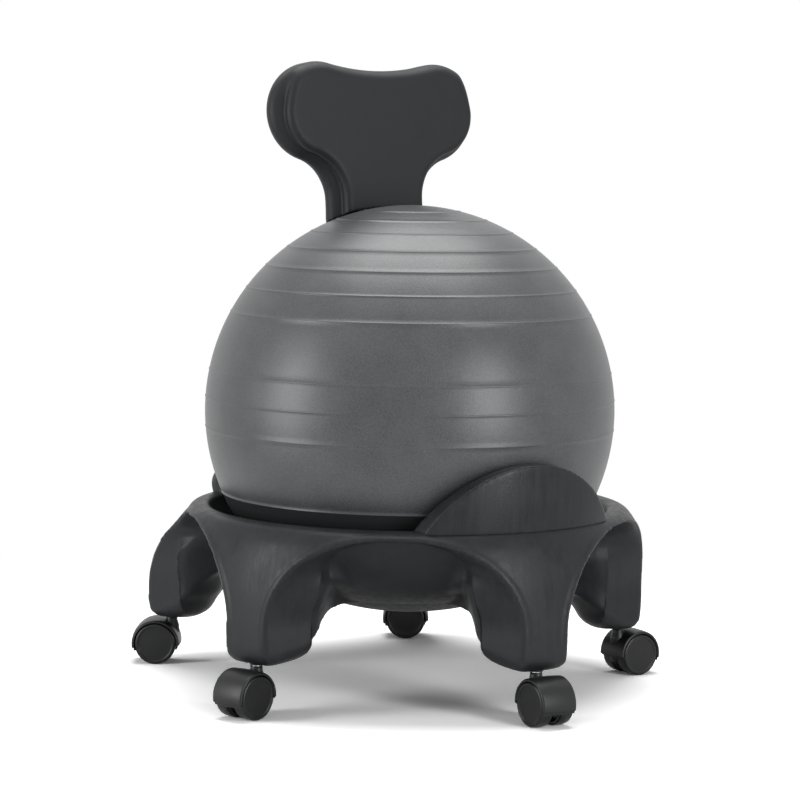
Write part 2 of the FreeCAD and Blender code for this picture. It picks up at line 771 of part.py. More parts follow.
def corner_sketch(body, role, name, corners):
    """A closed outline of straight lines, each corner held by two expressions."""
    sketch = body.newObject("Sketcher::SketchObject", name)
    sketch.AttachmentSupport = [(body_plane(body, role), "")]
    sketch.MapMode = "FlatFace"
    values = [(evaluate(x), evaluate(y)) for x, y in corners]
    count = len(values)
    for index in range(count):
        start = Vector(*values[index], 0)
        end = Vector(*values[(index + 1) % count], 0)
        sketch.addGeometry(Part.LineSegment(start, end), False)
    for index in range(count):
        sketch.addConstraint(Sketcher.Constraint("Coincident", index, 2, (index + 1) % count, 1))
    for index, (x, y) in enumerate(corners):
        for kind, words, value in (("DistanceX", x, values[index][0]),
                                   ("DistanceY", y, values[index][1])):
            at = sketch.addConstraint(Sketcher.Constraint(kind, -1, 1, index, 1, value))
            bind(sketch, **{f"Constraints[{at}]": words})
    return sketch


def evaluate(words):
    """The number that an expression on the sheet's names gives now."""
    total = 0.0
    for sign, term in split_terms(words):
        product = 1.0
        for factor in term.split("*"):
            factor = factor.strip()
            number = factor.replace(".", "", 1).isdigit()
            product *= float(factor) if number else dim(factor)
        total += sign * product
    return total


def split_terms(words):
    """Cut a sum of products into its terms, each with its sign."""
    terms = []
    sign = 1
    term = ""
    for mark in words:
        if mark in "+-":
            if term.strip():
                terms.append((sign, term))
            term = ""
            sign = 1 if mark == "+" else -1
        else:
            term += mark
    terms.append((sign, term))
    return terms


def turned_body(name, corners, role="XZ_Plane", axis="V_Axis"):
    """A part turned on a lathe or moulded round: a half section spun about its axis."""
    body = doc.addObject("PartDesign::Body", name)
    sketch = corner_sketch(body, role, name + "_section", corners)
    spin = body.newObject("PartDesign::Revolution", name + "_turned")
    spin.Profile = sketch
    spin.ReferenceAxis = (sketch, [axis])
    spin.Angle = 360
    doc.recompute()
    return body


def soften(body, size, wanted):
    """Round the edges of a body that the test picks."""
    doc.recompute()
    base = body.Tip
    names = [f"Edge{i}" for i, e in enumerate(base.Shape.Edges, start=1) if wanted(e)]
    rounding = body.newObject("PartDesign::Fillet", body.Name + "_round")
    rounding.Base = (base, names)
    bind(rounding, Radius=size)
    body.Tip = rounding
    doc.recompute()


def circle_at(edge, radius, tolerance=0.01):
    return isinstance(edge.Curve, Part.Circle) and abs(edge.Curve.Radius - radius) < tolerance


# Casters: each is built on its own stem axis, trailing toward -Y, and then placed.

def caster_place(leg):
    place = stem_place(leg)
    return Placement(place, Rotation(Vector(0, 0, 1), TRAILS[leg]))


def make_socket(leg):
    place = stem_place(leg)
    body = turned_body(leg + "_socket", [
        ("stem_radius + wheel_bore_gap", "leg_bottom"),
        ("socket_radius", "leg_bottom"),
        ("socket_radius", "leg_bottom + socket_depth"),
        ("stem_radius + wheel_bore_gap", "leg_bottom + socket_depth"),
    ])
    body.Placement = Placement(place, Rotation())
    return body


def make_stem(leg):
    body = turned_body(leg + "_caster_stem", [
        ("0", "neck_top - stem_shank_depth"),
        ("stem_shank_radius", "neck_top - stem_shank_depth"),
        ("stem_shank_radius", "neck_top"),
        ("stem_radius", "neck_top"),
        ("stem_radius", "neck_top + stem_length - ring_drop - ring_height"),
        ("stem_radius - ring_groove_depth", "neck_top + stem_length - ring_drop - ring_height"),
        ("stem_radius - ring_groove_depth", "neck_top + stem_length - ring_drop"),
        ("stem_radius", "neck_top + stem_length - ring_drop"),
        ("stem_radius", "neck_top + stem_length - ring_groove_depth"),
        ("stem_radius - ring_groove_depth", "neck_top + stem_length"),
        ("0", "neck_top + stem_length"),
    ])
    body.Placement = caster_place(leg)
    return body


def make_ring(leg):
    body = turned_body(leg + "_grip_ring", [
        ("stem_radius - ring_groove_depth", "neck_top + stem_length - ring_drop - ring_height"),
        ("stem_radius", "neck_top + stem_length - ring_drop - ring_height"),
        ("stem_radius", "neck_top + stem_length - ring_drop"),
        ("stem_radius - ring_groove_depth", "neck_top + stem_length - ring_drop"),
    ])
    body.Placement = caster_place(leg)
    return body


def make_axle(leg):
    """The axle lies along X in the caster's own frame."""
    body = turned_body(leg + "_caster_axle", [
        ("0", "0 - axle_half_length"),
        ("axle_radius - 0.5", "0 - axle_half_length"),
        ("axle_radius", "0.5 - axle_half_length"),
        ("axle_radius", "axle_half_length - 0.5"),
        ("axle_radius - 0.5", "axle_half_length"),
        ("0", "axle_half_length"),
    ])
    body.Placement = caster_place(leg).multiply(axle_frame())
    return body


def axle_frame():
    """From a part turned about its own Z to the axle's line in the caster's frame."""
    return Placement(Vector(0, -dim("caster_trail"), dim("wheel_radius")),
                     Rotation(Vector(0, 1, 0), 90))


def make_wheel(leg, side):
    """A moulded wheel: open toward the web, with a closed and slightly let-in outer face."""
    body = turned_body(f"{leg}_wheel_{side}", [
        ("axle_radius + wheel_bore_gap", "web_half_width + wheel_side_gap"),
        ("wheel_hub_radius", "web_half_width + wheel_side_gap"),
        ("wheel_hub_radius", "web_half_width + wheel_side_gap + wheel_recess_depth"),
        ("wheel_radius - wheel_rim_thickness",
         "web_half_width + wheel_side_gap + wheel_recess_depth"),
        ("wheel_radius - wheel_rim_thickness", "web_half_width + wheel_side_gap"),
        ("wheel_radius", "web_half_width + wheel_side_gap"),
        ("wheel_radius", "caster_half_width"),
        ("wheel_radius - wheel_rim_thickness", "caster_half_width"),
        ("wheel_radius - wheel_rim_thickness - wheel_dish_depth",
         "caster_half_width - wheel_dish_depth"),
        ("0", "caster_half_width - wheel_dish_depth"),
        ("0", "axle_half_length + wheel_side_gap"),
        ("axle_radius + wheel_bore_gap", "axle_half_length + wheel_side_gap"),
    ])
    soften(body, "wheel_edge_round", lambda e: circle_at(e, dim("wheel_radius")))
    frame = axle_frame()
    if side == "left":
        frame = frame.multiply(Placement(Vector(0, 0, 0), Rotation(Vector(1, 0, 0), 180)))
    body.Placement = caster_place(leg).multiply(frame)
    return body


def make_housing(leg):
    """Hood, web and neck in one moulding, with the stem's hole and the axle's hole."""
    name = leg + "_caster_housing"

    def cylinder(label, radius, height, **place):
        piece = doc.addObject("Part::Cylinder", name + "_" + label)
        bind(piece, Radius=radius, Height=height)
        piece.Placement = Placement(Vector(0, 0, 0), place.get("rotation", Rotation()))
        return piece

    across = Rotation(Vector(0, 1, 0), 90)
    wheel_z = "wheel_radius"
    hood = cylinder("hood", "hood_radius", "2 * caster_half_width", rotation=across)
    bind(hood, Placement__Base__x="0 - caster_half_width", Placement__Base__y="0 - caster_trail",
         Placement__Base__z=wheel_z)
    neck = cylinder("neck", "neck_radius", "neck_top - wheel_radius")
    bind(neck, Placement__Base__z=wheel_z)
    outside = doc.addObject("Part::MultiFuse", name + "_outside")
    outside.Shapes = [hood, neck]
    hollows = []
    for side, start in (("right", "web_half_width"), ("left", "0 - caster_half_width - 1")):
        room = cylinder("room_" + side, "hood_radius - hood_wall",
                        "caster_half_width - web_half_width + 1", rotation=across)
        bind(room, Placement__Base__x=start, Placement__Base__y="0 - caster_trail",
             Placement__Base__z=wheel_z)
        hollows.append(room)
    open_below = doc.addObject("Part::Box", name + "_open_below")
    bind(open_below, Length="4 * caster_half_width", Width="4 * hood_radius",
         Height="hood_radius",
         Placement__Base__x="0 - 2 * caster_half_width",
         Placement__Base__y="0 - caster_trail - 2 * hood_radius",
         Placement__Base__z="wheel_radius - hood_skirt_drop - hood_radius")
    hollows.append(open_below)
    stem_hole = cylinder("stem_hole", "stem_shank_radius", "stem_shank_depth + 1")
    bind(stem_hole, Placement__Base__z="neck_top - stem_shank_depth")
    hollows.append(stem_hole)
    axle_hole = cylinder("axle_hole", "axle_radius", "2 * axle_half_length", rotation=across)
    bind(axle_hole, Placement__Base__x="0 - axle_half_length",
         Placement__Base__y="0 - caster_trail", Placement__Base__z=wheel_z)
    hollows.append(axle_hole)
    inside = doc.addObject("Part::MultiFuse", name + "_inside")
    inside.Shapes = hollows
    housing = doc.addObject("Part::Cut", name)
    housing.Base = outside
    housing.Tool = inside
    doc.recompute()
    rounded = doc.addObject("Part::Fillet", name + "_rounded")
    rounded.Base = housing
    edges = []
    for index, edge in enumerate(housing.Shape.Edges, start=1):
        if circle_at(edge, dim("hood_radius")) and edge.Length > dim("hood_radius"):
            edges.append((index, 1.5, 1.5))
    rounded.Edges = edges
    rounded.Placement = caster_place(leg)
    return rounded


# The ball: a thin skin, flattened where it lies in the dish, with a filling plug.
# It is drawn with the plug at the rear and then turned as the chair shows it.
VALVE_TURN = -70


def make_ball():
    def sphere(name, radius, height):
        piece = doc.addObject("Part::Sphere", name)
        bind(piece, Radius=radius)
        bind(piece, Placement__Base__z=height)
        return piece

    dish_centre = "dish_height + dish_radius"
    skins = []
    for label, inset in (("outside", ""), ("inside", " - ball_wall")):
        round_part = sphere("ball_round_" + label, "ball_radius" + inset, "ball_centre_height")
        dish_part = sphere("ball_seat_" + label, "dish_radius - seat_gap" + inset, dish_centre)
        skin = doc.addObject("Part::Common", "ball_" + label)
        skin.Base = round_part
        skin.Tool = dish_part
        skins.append(skin)
    hollow = doc.addObject("Part::Cut", "ball_hollow")
    hollow.Base = skins[0]
    hollow.Tool = skins[1]
    hole = doc.addObject("Part::Cylinder", "ball_valve_hole")
    bind(hole, Radius="valve_radius", Height="2 * plug_length")
    hole.Placement = Placement(Vector(0, 0, 0), Rotation(Vector(1, 0, 0), -90))
    bind(hole, Placement__Base__y="ball_radius - plug_length",
         Placement__Base__z="ball_centre_height")
    ball = doc.addObject("Part::Cut", "ball")
    ball.Base = hollow
    ball.Tool = hole
    ball.Placement = turn(VALVE_TURN)
    return ball


def make_plug():
    """A stopper with a thin flange whose underside follows the ball."""
    stopper = doc.addObject("Part::Cylinder", "ball_plug_stopper")
    bind(stopper, Radius="valve_radius", Height="plug_length + plug_flange_thickness")
    stopper.Placement = Placement(Vector(0, 0, 0), Rotation(Vector(1, 0, 0), -90))
    bind(stopper, Placement__Base__y="ball_radius - plug_length",
         Placement__Base__z="ball_centre_height")
    flange = doc.addObject("Part::Cylinder", "ball_plug_flange")
    bind(flange, Radius="plug_flange_radius", Height="2 * plug_flange_thickness")
    flange.Placement = Placement(Vector(0, 0, 0), Rotation(Vector(1, 0, 0), -90))
    bind(flange, Placement__Base__y="ball_radius - plug_flange_thickness",
         Placement__Base__z="ball_centre_height")
    core = doc.addObject("Part::Sphere", "ball_plug_seat")
    bind(core, Radius="ball_radius")
    bind(core, Placement__Base__z="ball_centre_height")
    rim = doc.addObject("Part::Cut", "ball_plug_rim")
    rim.Base = flange
    rim.Tool = core
    plug = doc.addObject("Part::MultiFuse", "ball_plug")
    plug.Shapes = [rim, stopper]
    plug.Placement = turn(VALVE_TURN)
    return plug


nodes = {}


def keep(name, piece):
    piece.Label = name
    nodes[name] = piece


keep("base_shell", add_shape("base_shell", base_solid()))
keep("front_shield", add_shape("front_shield", shield_solid()))
keep("backrest", add_shape("backrest", backrest_solid()))
keep("shield_bolts", add_shape("shield_bolts", Part.makeCompound(shield_bolt_set())))
keep("backrest_bolts", add_shape("backrest_bolts", Part.makeCompound(backrest_bolt_set())))
keep("ball", make_ball())
keep("ball_plug", make_plug())
for leg in LEGS:
    keep(leg + "_socket", make_socket(leg))
    keep(leg + "_caster_stem", make_stem(leg))
    keep(leg + "_grip_ring", make_ring(leg))
    housing = make_housing(leg)
    doc.getObject(leg + "_caster_housing").Label = leg + "_caster_housing_sharp"
    keep(leg + "_caster_housing", housing)
    keep(leg + "_caster_axle", make_axle(leg))
    for side in ("left", "right"):
        keep(f"{leg}_wheel_{side}", make_wheel(leg, side))

doc.recompute()

problems = [f"{item.Label}: {item.State}" for item in doc.Objects
            if "Invalid" in item.State or "Error" in item.State]
for name, piece in nodes.items():
    shape = piece.Shape
    if shape.isNull() or not shape.isValid() or shape.Volume <= 0:
        problems.append(name + ": shape")
if problems:
    raise RuntimeError("; ".join(problems))

os.makedirs("parts", exist_ok=True)
for name, piece in nodes.items():
    piece.Shape.exportStep(f"parts/{name}.step")
    print(f"{name:28s} volume {piece.Shape.Volume / 1000:10.2f} cm3, solids {len(piece.Shape.Solids)}")
print(len(nodes), "nodes")
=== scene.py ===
"""Balance ball chair: the looks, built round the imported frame."""

import math

import bmesh
import bpy
import numpy as np
from bpy.props import FloatProperty, FloatVectorProperty, IntProperty, PointerProperty
from mathutils import Matrix, Vector


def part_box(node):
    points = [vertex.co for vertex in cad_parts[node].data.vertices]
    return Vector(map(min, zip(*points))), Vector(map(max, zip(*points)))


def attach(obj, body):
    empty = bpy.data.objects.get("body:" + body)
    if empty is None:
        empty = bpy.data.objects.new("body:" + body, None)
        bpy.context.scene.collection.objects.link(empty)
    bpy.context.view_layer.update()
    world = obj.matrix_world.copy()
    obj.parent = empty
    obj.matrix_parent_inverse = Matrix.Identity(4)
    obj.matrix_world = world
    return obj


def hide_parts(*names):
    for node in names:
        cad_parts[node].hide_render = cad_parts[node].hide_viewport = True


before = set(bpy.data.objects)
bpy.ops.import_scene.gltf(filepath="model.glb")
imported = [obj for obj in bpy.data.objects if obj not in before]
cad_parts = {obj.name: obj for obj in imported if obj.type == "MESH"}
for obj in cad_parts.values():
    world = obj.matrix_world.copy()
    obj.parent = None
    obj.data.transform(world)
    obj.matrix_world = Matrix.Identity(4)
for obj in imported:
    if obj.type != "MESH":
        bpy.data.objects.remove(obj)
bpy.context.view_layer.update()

bl_info = {
    "name": "Balance ball chair",
    "version": (1, 0, 0),
    "blender": (4, 5, 0),
    "location": "View3D > Sidebar > Chair",
    "description": "Builds the visible pieces of a balance ball chair round its packed frame",
    "category": "Object",
}

# Everything below is in millimetres, and angles are in degrees. Directions round the chair
# are angles from its front (-Y), growing toward +X. A radius is a distance from the ball's
# upright axis, and a height is a distance from the floor. A caster's trail is the angle that
# it stands turned about its stem.
MM = 0.001
LEG_ANGLES = {"front": 0, "right": 72, "rear_right": 144, "rear_left": -144, "left": -72}
CASTER_TRAILS = {"front": 0, "right": 90, "rear_right": -123, "rear_left": -123, "left": -74}


def node_box(node):
    """A node's lowest and highest corners in millimetres."""
    low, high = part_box(node)
    return low / MM, high / MM


BALL_LOW, BALL_HIGH = node_box("ball")
BALL_RADIUS = (BALL_HIGH.x - BALL_LOW.x) / 2
BALL_CENTRE = BALL_HIGH.z - BALL_RADIUS


# Sizes and colours that a user would change.

def linear(code):
    """An sRGB hex colour as linear red, green, blue and alpha."""
    channels = [int(code[i:i + 2], 16) / 255 for i in (1, 3, 5)]
    return tuple(c / 12.92 if c <= 0.04045 else ((c + 0.055) / 1.055) ** 2.4
                 for c in channels) + (1.0,)


def size_property(name, value, words, unit="NONE"):
    """A length in millimetres, or a strength in its own unit."""
    return FloatProperty(name=name, description=words, default=value, min=0.0, unit=unit)


def colour_property(name, code, words):
    """A colour, stored linear, from an sRGB hex value."""
    return FloatVectorProperty(name=name, description=words, default=linear(code)[:3],
                               subtype="COLOR", size=3, min=0.0, max=1.0)


class StageSettings(bpy.types.PropertyGroup):
    """Floor, lamps and camera."""
    floor_colour: colour_property("Floor colour", "#F7F7F7", "Colour of the studio floor")
    lamp_power: size_property("Lamp power", 30.0, "Power of each tall softbox", "POWER")
    top_power: size_property("Top power", 56.0, "Power of the softbox overhead", "POWER")
    room_light: size_property("Room light", 0.28, "Strength of the light all round")


class BaseSettings(bpy.types.PropertyGroup):
    """The blow-moulded base, shield and backrest."""
    plastic_colour: colour_property("Plastic colour", "#1E1F21", "Charcoal of the plastic")
    bead_height: size_property("Bead height", 1.3, "Raised border along the arches, in mm")
    bead_width: size_property("Bead width", 8.0, "Width of that border, in mm")
    mesh_step: size_property("Mesh step", 2.5, "Spacing of the base's mesh, in mm")
    fine_step: size_property("Fine mesh step", 1.6, "Spacing of the backrest's mesh, in mm")
    head_groove: size_property("Head groove", 2.4, "Depth of the groove round the head, in mm")
    soft_passes: IntProperty(name="Soft passes", description="Rounding passes over the edges",
                             default=10, min=0)


class BallSettings(bpy.types.PropertyGroup):
    """The inflated ball."""
    vinyl_colour: colour_property("Vinyl colour", "#3B3D3E", "Grey of the ball")
    rib_height: size_property("Rib height", 0.6, "How far a rib stands out, in mm")
    rib_width: size_property("Rib width", 3.2, "Width of a rib at its foot, in mm")


class CasterSettings(bpy.types.PropertyGroup):
    """The casters."""
    nylon_colour: colour_property("Nylon colour", "#0E0F10", "Black of the caster housings")
    hood_crown: size_property("Hood crown", 1.2, "Bulge of the hood across its width, in mm")


# Materials.

WHITE = (1.0, 1.0, 1.0, 1.0)


def fill_inputs(tree, node, inputs):
    """Fill or link a node's inputs. A node given as a value stands for its first output."""
    for socket, value in inputs.items():
        if isinstance(value, bpy.types.Node):
            value = next(output for output in value.outputs if output.enabled)
        if isinstance(value, bpy.types.NodeSocket):
            tree.links.new(value, node.inputs[socket])
        else:
            node.inputs[socket].default_value = value


def add_node(tree, kind, inputs=None, **settings):
    """Add a shader node of a kind, set it up, and fill or link its inputs."""
    node = tree.nodes.new("ShaderNode" + kind)
    for name, value in settings.items():
        setattr(node, name, value)
    fill_inputs(tree, node, inputs or {})
    return node


def new_material(name, **sockets):
    """A material, its nodes, its shader with the constant sockets set directly, and the
    place on the piece that its patterns start from."""
    material = bpy.data.materials.new(name)
    material.use_nodes = True
    shader = material.node_tree.nodes["Principled BSDF"]
    for socket, value in sockets.items():
        shader.inputs[socket.replace("_", " ")].default_value = value
    place = add_node(material.node_tree, "TexCoord").outputs["Object"]
    return material, material.node_tree, shader, place


def per_metre(size_mm):
    """Noise scale for a grain of the given size."""
    return 1 / (size_mm * MM)


def opaque(colour):
    """A colour setting with its alpha."""
    return tuple(colour) + (1.0,)


def shade(colour, factor):
    """A colour made darker or lighter."""
    return tuple(min(1.0, c * factor) for c in colour[:3]) + (1.0,)


def moulded_polyethylene(name, colour, roughness, streaks):
    """Blow-moulded HDPE, charcoal: waxy and half matt, with a fine sand-blasted skin from
    the mould and faint upright streaks where the soft tube was drawn down."""
    material, tree, shader, place = new_material(name, IOR=1.5, Specular_IOR_Level=0.19)
    cloud = add_node(tree, "TexNoise", {
        "Vector": place, "Scale": per_metre(26), "Detail": 3.0, "Roughness": 0.55})
    upright = add_node(tree, "Mapping", {"Vector": place, "Scale": (1.0, 1.0, 0.06)})
    drawn = add_node(tree, "TexNoise", {
        "Vector": upright, "Scale": per_metre(7), "Detail": 4.0, "Roughness": 0.6})
    mixed = add_node(tree, "Mix", {"Factor": streaks, "A": cloud, "B": drawn}, data_type="FLOAT")
    # A streaky skin is mottled more strongly, in its colour and in its gloss.
    mottle = 0.06 + 0.32 * streaks
    tint = add_node(tree, "ValToRGB", {"Fac": mixed})
    dark, light = tint.color_ramp.elements
    dark.position, dark.color = 0.3, shade(colour, 1 - mottle)
    light.position, light.color = 0.7, shade(colour, 1 + mottle)
    gloss = add_node(tree, "MapRange", {
        "Value": mixed, "From Min": 0.3, "From Max": 0.7, "To Min": roughness - 0.5 * mottle,
        "To Max": roughness + 0.5 * mottle})
    # The real skin is finer than a tenth of a millimetre; it is drawn ten times as coarse.
    skin = add_node(tree, "TexNoise", {"Vector": place, "Scale": per_metre(1.1), "Detail": 2.0})
    fine = add_node(tree, "Bump", {"Height": skin, "Strength": 0.4, "Distance": 0.4 * MM})
    wave = add_node(tree, "Bump", {
        "Height": drawn, "Strength": 0.5 * streaks, "Distance": 0.6 * MM, "Normal": fine})
    fill_inputs(tree, shader, {"Base Color": tint, "Roughness": gloss, "Normal": wave})
    return material


def moulded_vinyl(name, colour, band_top, band_soft):
    """Dip-moulded PVC of an exercise ball: satin with a fine leathery grain, and a smooth
    band at the bottom whose colour is darkened as painted shade of the ball's underside."""
    material, tree, shader, place = new_material(name, IOR=1.5, Specular_IOR_Level=0.5)
    height = add_node(tree, "SeparateXYZ", {"Vector": place}).outputs["Z"]
    grained = add_node(tree, "MapRange", {
        "Value": height, "From Min": (band_top - band_soft) * MM,
        "From Max": (band_top + band_soft) * MM})
    cloud = add_node(tree, "TexNoise", {"Vector": place, "Scale": per_metre(60), "Detail": 2.0})
    # Grain of a real ball is about 0.5 mm; it is drawn at 1.6 mm so that it shows.
    grain = add_node(tree, "TexNoise", {
        "Vector": place, "Scale": per_metre(1.6), "Detail": 2.5, "Roughness": 0.7})
    speck = add_node(tree, "Mix", {"Factor": 0.72, "A": cloud, "B": grain}, data_type="FLOAT")
    tint = add_node(tree, "ValToRGB", {"Fac": speck})
    dark, light = tint.color_ramp.elements
    dark.position, dark.color = 0.32, shade(colour, 0.5)
    light.position, light.color = 0.68, shade(colour, 1.5)
    # Below the band's top the colour is the vinyl's at half: painted shade of the ball's
    # underside.
    skin = add_node(tree, "Mix", {
        "Factor": grained, "A": shade(colour, 0.5), "B": tint}, data_type="RGBA")
    gloss = add_node(tree, "MapRange", {"Value": grained, "To Min": 0.36, "To Max": 0.38})
    depth = add_node(tree, "Math", {0: grained, 1: 0.3}, operation="MULTIPLY")
    fine = add_node(tree, "Bump", {"Height": grain, "Strength": depth, "Distance": 0.8 * MM})
    fill_inputs(tree, shader, {"Base Color": skin, "Roughness": gloss, "Normal": fine})
    return material


def moulded_nylon(name, colour, roughness):
    """Injection-moulded nylon: black, a little glossy, with an almost invisible texture."""
    material, tree, shader, place = new_material(name, IOR=1.53, Specular_IOR_Level=0.3)
    cloud = add_node(tree, "TexNoise", {"Vector": place, "Scale": per_metre(9), "Detail": 3.0})
    tint = add_node(tree, "ValToRGB", {"Fac": cloud})
    dark, light = tint.color_ramp.elements
    dark.color, light.color = shade(colour, 0.8), shade(colour, 1.2)
    gloss = add_node(tree, "MapRange", {
        "Value": cloud, "To Min": roughness - 0.06, "To Max": roughness + 0.06})
    grit = add_node(tree, "TexNoise", {"Vector": place, "Scale": per_metre(0.7)})
    fine = add_node(tree, "Bump", {"Height": grit, "Strength": 0.08, "Distance": 0.1 * MM})
    fill_inputs(tree, shader, {"Base Color": tint, "Roughness": gloss, "Normal": fine})
    return material


def zinc_plated_steel(name):
    """Turned steel with bright zinc plating: metallic, with fine rings from the lathe."""
    material, tree, shader, place = new_material(name, Metallic=1.0)
    rings = add_node(tree, "TexWave", {
        "Vector": place, "Scale": per_metre(6), "Distortion": 1.0}, bands_direction="Z")
    tint = add_node(tree, "ValToRGB", {"Fac": rings.outputs["Fac"]})
    dark, light = tint.color_ramp.elements
    dark.color, light.color = linear("#B9BCC0"), linear("#D9DBDD")
    gloss = add_node(tree, "MapRange", {
        "Value": rings.outputs["Fac"], "To Min": 0.24, "To Max": 0.34})
    fill_inputs(tree, shader, {"Base Color": tint, "Roughness": gloss})
    return material


# The camera sees the floor this much lighter than it is, so only the shadow is left of it,
# and it fades into the backdrop between these distances, in metres.
FLOOR_GAIN = 1.25
FLOOR_FADE = (0.5, 1.2)


def floor_paint(colour):
    """Pale studio floor that keeps the chair's shadow and fades into the white backdrop."""
    material = bpy.data.materials.new("studio_floor")
    material.use_nodes = True
    tree = material.node_tree
    tree.nodes.clear()
    place = add_node(tree, "TexCoord").outputs["Object"]
    reach = add_node(tree, "VectorMath", {0: place}, operation="LENGTH")
    far = add_node(tree, "MapRange", {
        "Value": reach, "From Min": FLOOR_FADE[0], "From Max": FLOOR_FADE[1]},
        interpolation_type="SMOOTHSTEP")
    path = add_node(tree, "LightPath")
    share = add_node(tree, "Math", {0: far, 1: seen_directly(tree, path)}, operation="MULTIPLY")
    tint = add_node(tree, "Mix", {
        "Factor": path.outputs["Is Camera Ray"], "A": opaque(colour),
        "B": (FLOOR_GAIN, FLOOR_GAIN, FLOOR_GAIN, 1.0)}, data_type="RGBA")
    paint = add_node(tree, "BsdfDiffuse", {"Color": tint})
    white = add_node(tree, "Emission", {"Color": WHITE})
    blend = add_node(tree, "MixShader", {0: share, 1: paint, 2: white})
    add_node(tree, "OutputMaterial", {"Surface": blend})
    return material


def seen_directly(tree, path):
    """One for a ray that shows the background: from the camera, a mirror or glass."""
    seen = path.outputs["Is Camera Ray"]
    for ray in ("Is Glossy Ray", "Is Transmission Ray"):
        seen = add_node(tree, "Math", {0: seen, 1: path.outputs[ray]}, operation="MAXIMUM")
    return seen


# Curves in a plane: lists of points in millimetres.

def arc_through(start, middle, end, steps):
    """Points of the circle arc through three points."""
    (ax, ay), (bx, by), (cx, cy) = start, middle, end
    d = 2 * (ax * (by - cy) + bx * (cy - ay) + cx * (ay - by))
    ux = ((ax ** 2 + ay ** 2) * (by - cy) + (bx ** 2 + by ** 2) * (cy - ay)
          + (cx ** 2 + cy ** 2) * (ay - by)) / d
    uy = ((ax ** 2 + ay ** 2) * (cx - bx) + (bx ** 2 + by ** 2) * (ax - cx)
          + (cx ** 2 + cy ** 2) * (bx - ax)) / d
    size = math.hypot(ax - ux, ay - uy)
    a0, a1, a2 = (math.atan2(y - uy, x - ux) for x, y in (start, middle, end))
    full = 2 * math.pi
    sweep = (a2 - a0) % full
    if (a1 - a0) % full > sweep:
        sweep -= full
    return [(ux + size * math.cos(a0 + sweep * i / steps),
             uy + size * math.sin(a0 + sweep * i / steps)) for i in range(steps + 1)]


def turn_corner(centre, size, from_angle, to_angle, steps=6):
    """Points of a round corner."""
    points = []
    for i in range(steps + 1):
        a = math.radians(from_angle + (to_angle - from_angle) * i / steps)
        points.append((centre[0] + size * math.cos(a), centre[1] + size * math.sin(a)))
    return points


def smooth_line(points, steps):
    """A Catmull-Rom line through points of any dimension."""
    values = [np.array(p, dtype=float) for p in points]
    values = [2 * values[0] - values[1]] + values + [2 * values[-1] - values[-2]]
    line = []
    for i in range(1, len(values) - 2):
        p0, p1, p2, p3 = values[i - 1:i + 3]
        for k in range(steps):
            t = k / steps
            line.append(0.5 * (2 * p1 + (p2 - p0) * t + (2 * p0 - 5 * p1 + 4 * p2 - p3) * t * t
                               + (3 * p1 - p0 - 3 * p2 + p3) * t ** 3))
    line.append(values[-2])
    return line


def smooth_step(low, high, value):
    """0 below low, 1 above high and a soft rise between them. Works on arrays."""
    share = np.clip((value - low) / (high - low), 0.0, 1.0)
    return share * share * (3 - 2 * share)


# Meshes. Points are in millimetres and become metres when the mesh is made. A shape is a
# list of points and a list of faces.

MERGE_DISTANCE = 0.01
# How far the plates that cut a piece to its front view reach along Y.
CUT_FRONT = (-420, -100)
CUT_REAR = (0, 420)


def new_object(name, data):
    """An object in the scene."""
    piece = bpy.data.objects.new(name, data)
    bpy.context.scene.collection.objects.link(piece)
    return piece


def make_object(name, shape):
    """A mesh object with doubled points joined, faces outward and smooth shading."""
    points, faces = shape
    mesh = bpy.data.meshes.new(name)
    mesh.from_pydata([(x * MM, y * MM, z * MM) for x, y, z in points], [], faces)
    work = bmesh.new()
    work.from_mesh(mesh)
    bmesh.ops.remove_doubles(work, verts=work.verts, dist=MERGE_DISTANCE * MM)
    bmesh.ops.recalc_face_normals(work, faces=work.faces)
    for face in work.faces:
        face.smooth = True
    work.to_mesh(mesh)
    work.free()
    return new_object(name, mesh)


def turned_shape(profile, steps):
    """A profile of (radius, height) turned all round the Z axis."""
    points = []
    rows = []
    for radius, height in profile:
        if radius < 1e-6:
            rows.append([len(points)] * steps)
            points.append((0.0, 0.0, height))
            continue
        rows.append(list(range(len(points), len(points) + steps)))
        for i in range(steps):
            a = 2 * math.pi * i / steps
            points.append((radius * math.sin(a), -radius * math.cos(a), height))
    faces = []
    for low, high in zip(rows, rows[1:]):
        for i in range(steps):
            k = (i + 1) % steps
            corners = list(dict.fromkeys([low[i], low[k], high[k], high[i]]))
            if len(corners) > 2:
                faces.append(corners)
    return points, faces


def lofted_shape(rings):
    """Closed rings of equal length, joined and capped at both ends."""
    count = len(rings[0])
    points = [tuple(p) for ring in rings for p in ring]
    faces = [[i * count + k, i * count + (k + 1) % count,
              (i + 1) * count + (k + 1) % count, (i + 1) * count + k]
             for i in range(len(rings) - 1) for k in range(count)]
    faces += [list(range(count)), list(range(len(points) - count, len(points)))]
    return points, faces


def sector_shape(loop, half_angle, steps):
    """A closed loop of (radius, height) turned to both sides of the front."""
    rings = []
    for i in range(steps + 1):
        a = math.radians(half_angle * (2 * i / steps - 1))
        rings.append([(r * math.sin(a), -r * math.cos(a), z) for r, z in loop])
    return lofted_shape(rings)


def prism_shape(outline, near, far):
    """An outline of (x, z) drawn out along Y."""
    return lofted_shape([[(x, y, z) for x, z in outline] for y in (near, far)])


def final_mesh(piece):
    """Replace an object's mesh by what its modifiers make of it."""
    graph = bpy.context.evaluated_depsgraph_get()
    made = bpy.data.meshes.new_from_object(piece.evaluated_get(graph))
    piece.modifiers.clear()
    piece.data = made


def shared_part(first, second, operation="INTERSECT"):
    """What two solids have in common, or their difference. The second is used up."""
    step = first.modifiers.new("common", "BOOLEAN")
    step.operation = operation
    step.solver = "EXACT"
    step.object = second
    final_mesh(first)
    bpy.data.objects.remove(second)
    return first


